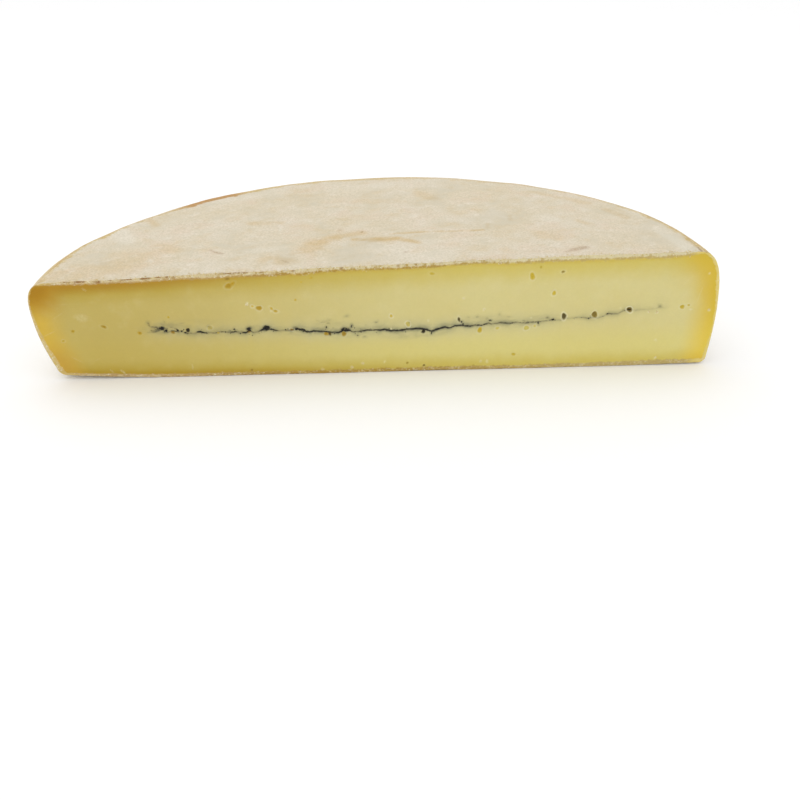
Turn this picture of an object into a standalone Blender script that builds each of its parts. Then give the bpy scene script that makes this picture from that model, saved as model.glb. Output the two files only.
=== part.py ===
"""Half wheel of morbier: one solid for the paste and its rind, and the thin layer of ash inside it.

Metres, +Z up. +X runs along the cut face, which looks towards -Y, and the round side is at +Y.
The origin lies under the middle of the piece, on the surface that it rests on.
The wheel is turned as an even drum, and then every point is moved by how the real one settled.
"""

import math

import bmesh
import bpy
from mathutils import Matrix, Vector, noise

# The even drum, before it settles. The waist is where its side is widest, as a share of the height
WIDEST_RADIUS = 0.1840
FLAT_RADIUS = 0.1700
THICKNESS = 0.0617
WAIST = 0.55
SHOULDER_POWER = 3.0
TAPER = 0.0036
TAPER_POWER = 1.8
BOTTOM_EDGE = 0.0042

# How finely the drum is turned
TURN_STEPS = 128
TOP_RINGS = 7
SHOULDER_STEPS = 9
SIDE_RINGS = 5
BOTTOM_EDGE_STEPS = 3
WELD_DISTANCE = 0.00005
SHARP_ANGLE = math.radians(40)

# How the settled wheel departs from the drum
RISE_TOWARDS_X = 0.0300
CROWN = 0.0012
LEAN = 0.0056
TOP_SHIFT = 0.0018
OUT_OF_ROUND = 0.0010
LOBES = 5
LOBE_TURN = math.radians(105)
FOOT_RADIUS = 0.112
EDGE_LIFT = 0.0022
LIFT_TOWARDS_X = -0.0012
DENT = 0.0006
DENT_SPACING = 0.032
DENT_POWER = 4
DENT_LAYERS_APART = 10.0

# The rim stands out and up at the back left, most near the cut's thinner end, and not at the cut itself
SWELL_OUT = 0.0023
SWELL_UP = 0.0017
SWELL_TURN = math.radians(158)
SWELL_TOWARDS_CUT = math.radians(13)
SWELL_TOWARDS_BACK = math.radians(74)
SWELL_START = 0.012

# How far past the axis the knife went, and where the wheel's axis stands
CUT_OFFSET = 0.0080
AXIS_X = -0.0033
AXIS_Y = -0.0967

# The ash layer, a thin wavy sheet that stops short of the rind, lowest left of the middle
ASH_CENTRE_X = 0.0175
ASH_RADIUS = 0.1400
ASH_THICKNESS = 0.0015
ASH_LOW_X = -0.0200
ASH_LOW_Z = 0.0253
ASH_RISE_RIGHT = 0.0107
ASH_REACH_RIGHT = 0.177
ASH_RISE_LEFT = 0.0050
ASH_REACH_LEFT = 0.102
ASH_WAVE = 0.0005
ASH_WAVELENGTHS = (0.038, 0.061)
ASH_WAVE_SLANT = 0.4
ASH_EDGE_WAVE = 0.05
ASH_COLUMNS = 48
ASH_ROWS = 10
PAST_THE_CUT = 0.004
CLEARANCE = 0.0003

# Eyes open at the cut: place along the cut from the wheel's axis, height, and the mouth's two sizes
EYES = (
    (-0.1611, 0.0294, 0.0018, 0.0018),
    (-0.1443, 0.0314, 0.0024, 0.0016),
    (-0.1261, 0.0273, 0.0020, 0.0020),
    (-0.0749, 0.0539, 0.0050, 0.0034),
    (-0.0611, 0.0403, 0.0035, 0.0029),
    (-0.0529, 0.0392, 0.0035, 0.0018),
    (0.0093, 0.0340, 0.0018, 0.0018),
    (0.0311, 0.0581, 0.0034, 0.0018),
    (0.0772, 0.0090, 0.0024, 0.0018),
    (0.0834, 0.0243, 0.0024, 0.0022),
    (0.0846, 0.0551, 0.0029, 0.0040),
    (0.0970, 0.0451, 0.0024, 0.0035),
    (0.1006, 0.0572, 0.0018, 0.0018),
    (0.1680, 0.0355, 0.0024, 0.0024),
)
EYE_DEPTH_SHARE = 0.38

RIND_COLOUR = (0.722, 0.621, 0.491)
RIND_ROUGHNESS = 0.8
PASTE_COLOUR = (0.625, 0.533, 0.186)
PASTE_ROUGHNESS = 0.5
ASH_COLOUR = (0.018, 0.020, 0.028)
ASH_ROUGHNESS = 0.9


def clear_scene():
    for item in list(bpy.data.objects):
        bpy.data.objects.remove(item, do_unlink=True)


def make_collection(name):
    collection = bpy.data.collections.new(name)
    bpy.context.scene.collection.children.link(collection)
    return collection


def plain_material(name, colour, roughness):
    material = bpy.data.materials.new(name)
    material.use_nodes = True
    shader = material.node_tree.nodes["Principled BSDF"]
    shader.inputs["Base Color"].default_value = (*colour, 1.0)
    shader.inputs["Roughness"].default_value = roughness
    shader.inputs["Metallic"].default_value = 0.0
    return material


def add_object(name, mesh, material, collection, parent):
    item = bpy.data.objects.new(name, mesh)
    mesh.materials.append(material)
    collection.objects.link(item)
    item.parent = parent
    return item


def add_cutter(name, mesh, material, collection, parent):
    """A cutter, whose material goes onto the face that it leaves."""
    cutter = add_object(name, mesh, material, collection, parent)
    cutter.hide_render = True
    cutter.display_type = "WIRE"
    return cutter


def finished_mesh(name, mesh, modifier_type, settings):
    """The mesh with one modifier applied, made through an object that is then removed."""
    draft = bpy.data.objects.new(name, mesh)
    bpy.context.scene.collection.objects.link(draft)
    modifier = draft.modifiers.new(name, modifier_type)
    for setting, value in settings.items():
        setattr(modifier, setting, value)
    depsgraph = bpy.context.evaluated_depsgraph_get()
    finished = bpy.data.meshes.new_from_object(draft.evaluated_get(depsgraph))
    bpy.data.objects.remove(draft, do_unlink=True)
    finished.name = name
    return finished


def mesh_from(name, shaped):
    mesh = bpy.data.meshes.new(name)
    shaped.to_mesh(mesh)
    shaped.free()
    return mesh


def shoulder_points():
    """Radius and height share round the top edge, a quarter of a superellipse down to the waist."""
    points = []
    for step in range(SHOULDER_STEPS + 1):
        turn = math.radians(90) * step / SHOULDER_STEPS
        out = max(0.0, math.sin(turn)) ** (2 / SHOULDER_POWER)
        up = max(0.0, math.cos(turn)) ** (2 / SHOULDER_POWER)
        radius = FLAT_RADIUS + (WIDEST_RADIUS - FLAT_RADIUS) * out
        points.append((radius, WAIST + (1 - WAIST) * up))
    return points


def side_points(edge_share):
    """Radius and height share from the waist down to where the bottom edge starts to round."""
    points = []
    for ring in range(1, SIDE_RINGS + 1):
        down = ring / SIDE_RINGS
        radius = WIDEST_RADIUS - TAPER * down**TAPER_POWER
        points.append((radius, WAIST + (edge_share - WAIST) * down))
    return points


def bottom_points(edge_share):
    """Radius and height share round the bottom edge and in to the middle of the underside."""
    points = []
    outer = WIDEST_RADIUS - TAPER
    for step in range(1, BOTTOM_EDGE_STEPS + 1):
        turn = math.radians(90) * step / BOTTOM_EDGE_STEPS
        radius = outer - BOTTOM_EDGE * (1 - math.cos(turn))
        points.append((radius, edge_share * (1 - math.sin(turn))))
    inner = outer - BOTTOM_EDGE
    for radius in ((inner + FOOT_RADIUS) / 2, FOOT_RADIUS, FOOT_RADIUS / 2, 0.0):
        points.append((radius, 0.0))
    return points


def drum_profile():
    """Radius and height share from the middle of the top, down the outer side, to the foot."""
    top = [(FLAT_RADIUS * math.sqrt(ring / TOP_RINGS), 1.0) for ring in range(TOP_RINGS)]
    edge_share = BOTTOM_EDGE / THICKNESS
    return top + shoulder_points() + side_points(edge_share) + bottom_points(edge_share)


def swell_share(angle, y, out):
    """How much of the swell a point has, from 0 to 1."""
    reach = SWELL_TOWARDS_CUT if angle > SWELL_TURN else SWELL_TOWARDS_BACK
    start = min(max((y - CUT_OFFSET) / SWELL_START, 0.0), 1.0)
    return math.exp(-(((angle - SWELL_TURN) / reach) ** 2)) * start**2 * (3 - 2 * start) * out**2


def settled(point):
    """A point of the even drum, moved to where the settled wheel has it."""
    drum_radius = math.hypot(point.x, point.y)
    angle = math.atan2(point.y, point.x)
    share = point.z / THICKNESS
    out = drum_radius / WIDEST_RADIUS
    beyond_foot = max(0.0, (drum_radius - FOOT_RADIUS) / (WIDEST_RADIUS - FOOT_RADIUS))

    swell = swell_share(angle, point.y, out)
    radius = drum_radius + OUT_OF_ROUND * math.cos(LOBES * (angle - LOBE_TURN)) * out**2 + SWELL_OUT * swell
    x = radius * math.cos(angle) + TOP_SHIFT + LEAN * (1 - share)
    y = radius * math.sin(angle)
    top = THICKNESS + RISE_TOWARDS_X * x + CROWN * (1 - out**2) + SWELL_UP * swell
    bottom = (EDGE_LIFT + LIFT_TOWARDS_X * math.cos(angle)) * beyond_foot**2
    z = bottom + share * (top - bottom)

    spot = Vector((x, y, z)) / DENT_SPACING
    layers = [spot + Vector((0.0, 0.0, DENT_LAYERS_APART * layer)) for layer in range(3)]
    dent = Vector([noise.noise(layer) for layer in layers]) * DENT
    sideways = out**DENT_POWER
    return Vector((x + dent.x * sideways, y + dent.y * sideways, z + dent.z * share))


def turned_wheel():
    """The whole settled wheel, turned by a screw about its axis."""
    outline = [(radius, 0.0, share * THICKNESS) for radius, share in drum_profile()]
    edges = [(i, i + 1) for i in range(len(outline) - 1)]
    profile = bpy.data.meshes.new("drum_profile")
    profile.from_pydata(outline, edges, [])
    turn = {
        "axis": "Z",
        "steps": TURN_STEPS,
        "render_steps": TURN_STEPS,
        "use_merge_vertices": True,
        "merge_threshold": WELD_DISTANCE,
    }
    wheel = finished_mesh("wheel", profile, "SCREW", turn)
    for vertex in wheel.vertices:
        vertex.co = settled(vertex.co)
    return wheel


def ash_height(x, y):
    """Height of the middle of the ash layer, which rises to both ends in shallow waves."""
    away = x - ASH_LOW_X
    if away > 0:
        rise = ASH_RISE_RIGHT * (away / ASH_REACH_RIGHT) ** 2
    else:
        rise = ASH_RISE_LEFT * (away / ASH_REACH_LEFT) ** 2
    along = 2 * math.pi * (x + ASH_WAVE_SLANT * y)
    waves = sum(math.sin(along / length) for length in ASH_WAVELENGTHS)
    return ASH_LOW_Z + rise + ASH_WAVE * waves


def ash_sheet(name, thickness, spread):
    """A sheet over the half disc of ash: a square grid bent into a half disc, then thickened."""
    shaped = bmesh.new()
    bmesh.ops.create_grid(shaped, x_segments=ASH_COLUMNS, y_segments=ASH_ROWS, size=1.0)
    for vertex in shaped.verts:
        u = vertex.co.x
        v = (vertex.co.y + 1) / 2
        across = u * math.sqrt(1 - v * v / 2)
        back = v * math.sqrt(1 - u * u / 2)
        angle = math.atan2(back, across)
        edge_wave = ASH_EDGE_WAVE * math.sin(3 * angle) * math.sin(2 * angle)
        reach = (ASH_RADIUS + spread) * (1 + edge_wave)
        x = ASH_CENTRE_X + across * reach
        y = CUT_OFFSET - PAST_THE_CUT + back * reach
        vertex.co = Vector((x, y, ash_height(x, y)))
    settings = {"thickness": thickness, "offset": 0.0}
    return finished_mesh(name, mesh_from(name, shaped), "SOLIDIFY", settings)


def knife_block():
    """A block over all that is cut away."""
    size = 4 * WIDEST_RADIUS
    middle = Vector((0.0, CUT_OFFSET - size / 2, THICKNESS / 2))
    block = bmesh.new()
    bmesh.ops.create_cube(block, size=size, matrix=Matrix.Translation(middle))
    return mesh_from("knife", block)


def eye_balls():
    """Flattened balls whose far sides leave the shallow eyes in the cut face."""
    balls = bmesh.new()
    for x, z, width, height in EYES:
        mouth = min(width, height) / 2
        depth = 2 * mouth * EYE_DEPTH_SHARE
        radius = (mouth**2 + depth**2) / (2 * depth)
        middle = Vector((x, CUT_OFFSET - radius + depth, z))
        stretch = Matrix.Diagonal((width / (2 * mouth), 1.0, height / (2 * mouth), 1.0))
        place = Matrix.Translation(middle) @ stretch
        bmesh.ops.create_icosphere(balls, subdivisions=2, radius=radius, matrix=place)
    return mesh_from("eyes", balls)


def cut_away(item, cutter):
    """Takes the cutter's shape out of the item."""
    trim = item.modifiers.new(cutter.name, "BOOLEAN")
    trim.operation = "DIFFERENCE"
    trim.solver = "EXACT"
    trim.material_mode = "TRANSFER"
    trim.object = cutter


def shade_round(item):
    item.data.shade_smooth()
    item.data.set_sharp_from_angle(angle=SHARP_ANGLE)


def build():
    clear_scene()
    parts = make_collection("morbier_half_wheel")
    cutters = make_collection("cutters")
    rind = plain_material("rind", RIND_COLOUR, RIND_ROUGHNESS)
    paste = plain_material("paste", PASTE_COLOUR, PASTE_ROUGHNESS)
    ash = plain_material("ash", ASH_COLOUR, ASH_ROUGHNESS)

    axis = bpy.data.objects.new("wheel_axis", None)
    axis.location = (AXIS_X, AXIS_Y, 0.0)
    parts.objects.link(axis)

    slot_mesh = ash_sheet("ash_slot", ASH_THICKNESS + 2 * CLEARANCE, CLEARANCE)
    knife = add_cutter("knife", knife_block(), paste, cutters, axis)
    slot = add_cutter("ash_slot", slot_mesh, paste, cutters, axis)
    eyes = add_cutter("eyes", eye_balls(), paste, cutters, axis)

    cheese = add_object("cheese", turned_wheel(), rind, parts, axis)
    for cutter in (knife, slot, eyes):
        cut_away(cheese, cutter)
    layer = add_object("ash_layer", ash_sheet("ash_layer", ASH_THICKNESS, 0.0), ash, parts, axis)
    cut_away(layer, knife)

    for item in (cheese, layer):
        shade_round(item)


build()
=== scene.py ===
"""Looks of a half wheel of morbier: the cut face with its eyes and ash line, the rind, crumbs and light.

Metres, in the CAD's frame: the cut face looks towards -Y, +X runs along it, and +Z is up.
The rind is laid on as shells with a real thickness, and the paste fills them out to the cut.
"""

import math

import bpy
import numpy as np
from mathutils import Matrix, Vector, noise


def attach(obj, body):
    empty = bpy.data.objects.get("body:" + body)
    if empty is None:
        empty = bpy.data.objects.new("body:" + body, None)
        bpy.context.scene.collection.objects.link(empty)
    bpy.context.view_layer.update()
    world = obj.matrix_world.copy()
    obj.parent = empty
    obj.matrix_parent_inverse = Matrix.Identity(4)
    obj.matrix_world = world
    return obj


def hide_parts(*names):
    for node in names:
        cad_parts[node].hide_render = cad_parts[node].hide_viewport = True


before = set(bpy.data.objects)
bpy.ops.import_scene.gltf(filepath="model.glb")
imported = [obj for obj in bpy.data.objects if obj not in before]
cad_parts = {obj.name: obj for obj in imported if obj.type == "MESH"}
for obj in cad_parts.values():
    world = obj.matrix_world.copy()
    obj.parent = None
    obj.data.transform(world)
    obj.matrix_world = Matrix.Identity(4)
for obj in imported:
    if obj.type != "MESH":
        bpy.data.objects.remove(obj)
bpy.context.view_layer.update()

MM = 0.001

# The even drum and how the settled wheel departs from it, as in the CAD
WIDEST_RADIUS = 0.1840
FLAT_RADIUS = 0.1700
THICKNESS = 0.0617
WAIST = 0.55
SHOULDER_POWER = 3.0
TAPER = 0.0036
TAPER_POWER = 1.8
BOTTOM_EDGE = 0.0042
RISE_TOWARDS_X = 0.0300
CROWN = 0.0012
LEAN = 0.0056
TOP_SHIFT = 0.0018
OUT_OF_ROUND = 0.0010
LOBES = 5
LOBE_TURN = math.radians(105)
FOOT_RADIUS = 0.112
EDGE_LIFT = 0.0022
LIFT_TOWARDS_X = -0.0012
DENT = 0.0006
DENT_SPACING = 0.032
DENT_POWER = 4
DENT_LAYERS_APART = 10.0
SWELL_OUT = 0.0023
SWELL_UP = 0.0017
SWELL_TURN = math.radians(158)
SWELL_TOWARDS_CUT = math.radians(13)
SWELL_TOWARDS_BACK = math.radians(74)
SWELL_START = 0.012
CUT_OFFSET = 0.0080
CUT_BLEND = 0.006
AXIS_X = -0.0033
AXIS_Y = -0.0967
CUT_Y = AXIS_Y + CUT_OFFSET

# The rind: its thickness, where top and side meet, how far behind the cut its shells start, how far the
# paste runs into it, and the middle of a shell's inner face as a share of the way to its back
RIND = 0.0024
RIM_TURN = math.radians(31)
LIP = 0.0005
RIND_OVERLAP = 0.0002
HUB_BEHIND_CUT = 0.42

# The ash layer inside the paste, as in the CAD
ASH_CENTRE_X = 0.0175
ASH_RADIUS = 0.1400
ASH_LOW_X = -0.0200
ASH_LOW_Z = 0.0253
ASH_RISE_RIGHT = 0.0107
ASH_REACH_RIGHT = 0.177
ASH_RISE_LEFT = 0.0050
ASH_REACH_LEFT = 0.102
ASH_WAVE = 0.0004
ASH_WAVE_BACK = 0.011
ASH_WAVE_ALONG = 0.020

# The groove just inside the rim
RIM_GROOVE = 0.00028
RIM_GROOVE_RUN = 0.0018
RIM_GROOVE_WIDTH = 0.0009

# The weave that the cloth left: how far apart its pits lie, their shape, and how the rows drift and sag
CLOTH_PITCH = 2.15 * MM
CLOTH_ROW = 1.55 * MM
DASH_LENGTH = 2.0 * MM
DASH_WIDTH = 0.95 * MM
DASH_LEAN = math.radians(44)
PIT_DEPTH = 0.20 * MM
CLOTH_DRIFT = 3.0 * MM
CLOTH_SAG = 1.6 * MM

# The haze of ash over and under the line, and the paler veil beyond it
HAZE_UP = 1.85 * MM
HAZE_DOWN = 1.30 * MM
VEIL = 0.50
VEIL_REACH = 5.5 * MM

# The sheet of ash behind the line: how far back its rows lie, the rounding of its front, and how soon
# it levels and evens out
ASH_BACK_SHARES = (1.0, 0.75, 0.45, 0.2, 0.06, 0.015)
ASH_FRONT = ((0.95, -0.9), (0.85, 0.3), (0.50, 0.9), (0.0, 1.0), (-0.50, 0.9), (-0.85, 0.3), (-0.95, -0.9))
ASH_LEVELS_OUT = 12 * MM
ASH_EVENS_OUT = 20 * MM
ASH_HALF_THICKNESS = 0.6 * MM
ASH_SUNK = 0.7 * MM

# Eyes: how deep a hollow is for its height, and the distance that stands for no eye near
EYE_DEPTH_SHARE = 0.40
FAR_FROM_EYES = 10 * MM

# The grid of the cut face, whose rows lie closest together near the ash line
FACE_COLUMNS = 664
FACE_ROWS = 130
ASH_CROWDING = 0.9
ASH_MIDDLE = 28 * MM
CROWDING_REACH = 7 * MM

# Relief of the cut face
KNIFE_STRETCH = 0.045
KNIFE_RIPPLE = 0.045 * MM
FACE_SWELL = 0.25 * MM
CRUMB_DEPTH = 0.20 * MM
ASH_GROOVE = 0.22 * MM
CRACK_DEPTH = 0.35 * MM
FLECK_RISE = 0.12 * MM
EDGE_ROUNDING = 0.30 * MM
EDGE_RUN = 0.35 * MM

# What the paste's finish finds on its hidden faces, where it isn't nothing
HIDDEN_VALUES = {"top_rind": -1 * MM, "edge_rind": -1 * MM, "eye": FAR_FROM_EYES}

# Sides of the squares that the flat sheets fill, and how far apart the two halves of the paste's lie
DISC_SHEET = 0.372
SIDE_SHEET = 0.205
PASTE_SHEET = 0.190
PASTE_SHEET_ROW = 0.070

# Loose grains: how often a grain's faces are split, and how many specks and crumbs are drawn
GRAIN_ROUNDS = 1
SPECKS = 1300
TOP_CRUMBS = 420
FOOT_CRUMBS = 320
BRIM_CRUMBS = 360
SPECK_SEED = 31
CRUMB_SEED = 12

# The camera, fitted to the outline of the half wheel in the photo, and the lamp
CAMERA_PLACE = Vector((-0.00594, -0.50716, 0.22600))
CAMERA_RIGHT = Vector((0.99907105, -0.04273515, -0.00554537))
CAMERA_UP = Vector((0.02633842, 0.50369894, 0.86347766))
CAMERA_LENS = 38.25
CAMERA_SENSOR = 36.0
LAMP_PLACE = Vector((-0.5, 0.3, 1.5))

# The ash line at the cut, in millimetres: place along the cut from the wheel's axis, height, width, and
# how dark it is, from 0 to 1
ASH_LINE = (
    (-122.0, 27.6, 0.5, 0.13), (-118.5, 27.7, 0.9, 0.30), (-115.5, 28.6, 1.1, 0.51),
    (-113.4, 29.4, 1.4, 0.81), (-112.4, 28.2, 0.9, 0.64), (-111.0, 27.2, 0.5, 0.26),
    (-108.2, 28.3, 0.9, 0.68), (-105.2, 27.5, 0.7, 0.51), (-103.0, 27.8, 0.6, 0.42),
    (-101.0, 26.6, 0.7, 0.64), (-99.4, 26.4, 0.6, 0.35), (-97.0, 26.4, 0.5, 0.25), (-95.6, 26.9, 0.8, 0.65),
    (-93.6, 27.2, 1.0, 0.90), (-91.4, 26.6, 0.8, 0.70), (-89.6, 26.4, 0.6, 0.35), (-85.6, 26.3, 0.5, 0.30),
    (-82.0, 27.0, 0.7, 0.60), (-79.0, 26.5, 0.6, 0.45), (-76.0, 26.6, 0.7, 0.60), (-74.6, 27.0, 0.8, 0.70),
    (-73.0, 26.4, 0.5, 0.35), (-71.2, 26.3, 0.8, 0.70), (-69.4, 25.9, 0.8, 0.70), (-66.9, 27.4, 1.3, 0.90),
    (-65.4, 26.2, 0.6, 0.35), (-63.0, 26.1, 0.5, 0.30), (-60.4, 27.6, 1.1, 0.85), (-58.2, 28.2, 1.6, 1.00),
    (-56.2, 27.7, 1.1, 0.90), (-52.6, 27.0, 0.7, 0.65), (-51.0, 26.8, 0.4, 0.15), (-49.6, 26.8, 0.4, 0.10),
    (-48.0, 26.9, 0.6, 0.40), (-44.4, 26.6, 0.6, 0.50), (-42.8, 27.6, 0.9, 0.80), (-39.6, 27.1, 0.9, 0.90),
    (-36.2, 25.6, 1.1, 0.90), (-34.8, 25.6, 0.8, 0.80), (-33.4, 26.1, 0.9, 0.85), (-28.4, 25.7, 0.9, 0.80),
    (-23.6, 25.2, 0.8, 0.75), (-19.4, 24.8, 0.8, 0.75), (-16.6, 26.0, 1.6, 0.95), (-13.0, 26.0, 1.1, 0.80),
    (-11.8, 25.0, 0.7, 0.65), (-6.0, 25.5, 0.7, 0.75), (-3.2, 26.0, 0.7, 0.80), (3.2, 25.7, 0.7, 0.80),
    (5.6, 26.1, 0.8, 0.90), (9.2, 25.2, 0.8, 0.85), (13.6, 25.3, 0.7, 0.85), (15.4, 25.5, 1.3, 0.95),
    (18.0, 26.0, 0.7, 0.80), (25.4, 26.1, 1.1, 0.95), (28.0, 25.5, 1.1, 0.95), (31.3, 24.3, 0.9, 0.85),
    (33.2, 25.1, 1.1, 0.95), (38.8, 26.6, 1.0, 0.95), (41.4, 26.0, 0.9, 0.90), (43.8, 27.2, 0.9, 0.90),
    (48.8, 27.4, 0.9, 0.90), (52.6, 26.7, 0.8, 0.75), (55.0, 27.4, 0.7, 0.75), (59.0, 27.3, 0.8, 0.85),
    (62.4, 28.4, 0.8, 0.72), (64.0, 27.8, 0.5, 0.48), (68.2, 28.5, 0.7, 0.68), (71.2, 28.4, 0.5, 0.60),
    (74.2, 27.9, 0.6, 0.52), (77.0, 28.5, 0.8, 0.68), (79.2, 28.2, 0.6, 0.60), (83.0, 28.1, 0.7, 0.60),
    (86.0, 28.4, 0.5, 0.40), (89.6, 28.6, 0.8, 0.68), (93.0, 28.8, 0.5, 0.44), (97.4, 29.5, 0.8, 0.60),
    (99.8, 29.2, 0.4, 0.36), (102.4, 29.1, 0.4, 0.32), (105.0, 30.0, 0.3, 0.12), (109.8, 30.3, 0.5, 0.24),
    (112.0, 30.4, 0.3, 0.08), (114.0, 30.4, 0.6, 0.36), (117.0, 30.0, 0.6, 0.40), (119.6, 30.2, 0.5, 0.36),
    (122.6, 29.9, 0.4, 0.24), (125.6, 31.2, 0.3, 0.16), (127.4, 32.3, 0.6, 0.48), (130.0, 32.4, 0.4, 0.28),
    (133.0, 32.1, 0.5, 0.32), (136.0, 34.2, 0.6, 0.36), (142.6, 34.2, 0.4, 0.20), (148.0, 34.4, 0.3, 0.12),
    (153.6, 34.7, 0.3, 0.12), (155.8, 35.9, 0.6, 0.32), (157.6, 35.0, 0.3, 0.08),
)

# Ash beside the line, in millimetres and degrees: place, height, width, height of the spot, lean, darkness
ASH_SPOTS = (
    (-120.4, 32.2, 1.2, 3.0, 25, 0.45), (-117.4, 30.4, 4.6, 1.5, -8, 0.55),
    (-114.0, 29.9, 3.2, 2.0, 0, 0.95), (-118.8, 28.5, 3.0, 1.4, 12, 0.40),
    (-116.6, 29.2, 3.6, 0.9, 14, 0.55), (-111.6, 29.6, 2.4, 0.8, 0, 0.55),
    (-112.0, 28.3, 2.2, 1.4, 0, 0.85), (-105.6, 28.5, 2.6, 0.9, -30, 0.65),
    (-103.5, 27.9, 1.8, 1.0, 0, 0.65), (-101.6, 27.0, 1.6, 0.9, 0, 0.70), (-93.6, 27.2, 3.6, 1.1, 0, 0.80),
    (-86.6, 26.2, 3.0, 0.7, 0, 0.40), (-108.6, 30.3, 2.4, 0.6, -8, 0.40),
    (-106.4, 29.3, 1.6, 0.9, -40, 0.50), (-103.0, 32.5, 2.6, 0.7, 0, 0.20),
    (-111.9, 33.3, 0.7, 1.2, 0, 0.22), (-75.2, 28.2, 1.0, 1.1, 0, 0.65), (-15.6, 26.9, 5.6, 1.9, 0, 0.70),
    (-77.8, 27.8, 0.6, 0.9, 0, 0.30), (-67.6, 28.1, 2.3, 2.0, 0, 0.95), (-57.9, 28.4, 3.4, 3.0, 0, 1.15),
    (-41.8, 27.9, 4.2, 1.5, -20, 0.60), (-38.6, 27.2, 3.2, 1.1, -15, 0.70), (19.2, 29.6, 0.8, 1.1, 0, 0.55),
    (18.0, 28.2, 0.8, 0.9, 0, 0.50), (-88.9, 30.1, 1.1, 0.8, 30, 0.50), (-87.4, 28.7, 0.9, 0.8, 0, 0.35),
    (-42.0, 28.6, 1.3, 0.9, 0, 0.50), (-25.7, 28.1, 0.9, 1.3, 0, 0.75), (-24.6, 27.4, 0.7, 0.5, 0, 0.35),
    (-22.0, 27.7, 0.8, 0.9, 0, 0.28), (-27.4, 31.1, 2.6, 0.5, 0, 0.30), (-24.6, 30.6, 1.8, 0.8, 0, 0.38),
    (-23.8, 32.4, 1.2, 0.6, 0, 0.20), (-30.0, 32.1, 1.8, 0.5, 0, 0.15), (-17.0, 26.6, 1.9, 1.4, 0, 0.85),
    (-12.1, 28.5, 0.6, 1.6, -12, 0.85), (-14.4, 34.5, 2.4, 0.6, 0, 0.22), (1.3, 30.5, 1.6, 0.9, 0, 0.30),
    (-0.7, 27.5, 0.5, 1.0, 0, 0.35), (-4.4, 29.0, 1.2, 0.7, 0, 0.20), (-8.9, 22.8, 1.2, 0.7, 0, 0.60),
    (-5.3, 22.2, 2.2, 0.7, 0, 0.30), (-10.4, 23.9, 0.8, 0.8, 0, 0.35), (31.3, 23.3, 0.9, 1.6, 0, 0.65),
    (47.6, 29.6, 0.9, 1.6, 25, 0.80), (48.5, 28.3, 0.8, 1.3, 20, 0.85), (51.4, 32.3, 1.4, 0.7, 0, 0.18),
    (56.1, 32.3, 1.5, 0.8, 0, 0.32), (63.2, 30.0, 2.2, 1.1, -8, 0.65), (61.4, 31.2, 1.6, 1.2, 0, 0.28),
    (68.1, 33.5, 1.0, 1.4, 0, 0.24), (73.2, 32.1, 1.6, 0.8, 0, 0.28), (81.5, 29.5, 1.3, 0.7, 0, 0.50),
    (89.7, 28.0, 0.8, 1.8, 0, 0.70), (94.6, 30.8, 2.8, 1.6, -20, 0.34), (97.4, 29.6, 2.2, 0.9, 8, 0.70),
    (127.5, 32.4, 1.2, 0.9, 0, 0.62), (136.2, 34.6, 1.8, 0.9, 20, 0.42), (142.8, 34.0, 1.2, 0.9, 0, 0.20),
    (155.8, 36.2, 1.6, 1.3, 0, 0.42),
)

# Grey haze that fine ash leaves in the paste, in millimetres and degrees as the spots are
ASH_HAZE = (
    (-111.0, 29.4, 26.0, 6.5, 0, 0.26), (-116.0, 30.6, 9.0, 5.0, 10, 0.34),
    (-88.0, 27.4, 24.0, 4.0, 0, 0.16), (-60.0, 27.8, 26.0, 5.5, 0, 0.20), (-22.0, 28.6, 34.0, 7.0, 0, 0.14),
    (-26.0, 30.6, 9.0, 5.0, 0, 0.16), (6.0, 26.8, 34.0, 5.5, 0, 0.13), (26.0, 23.8, 38.0, 6.0, 3, 0.17),
    (34.0, 24.0, 16.0, 4.0, 0, 0.16), (58.0, 30.2, 40.0, 6.0, 3, 0.14), (92.0, 30.2, 26.0, 5.5, 5, 0.16),
    (130.0, 32.6, 30.0, 4.5, 10, 0.14), (-12.0, 23.4, 16.0, 3.4, 0, 0.18), (36.0, 27.4, 44.0, 4.5, 4, 0.18),
    (150.0, 35.0, 16.0, 3.4, 6, 0.12), (80.0, 27.0, 30.0, 3.5, 3, 0.10), (-95.0, 32.5, 40.0, 5.0, 0, 0.06),
    (-40.0, 25.0, 26.0, 3.4, 0, 0.12),
)

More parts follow.
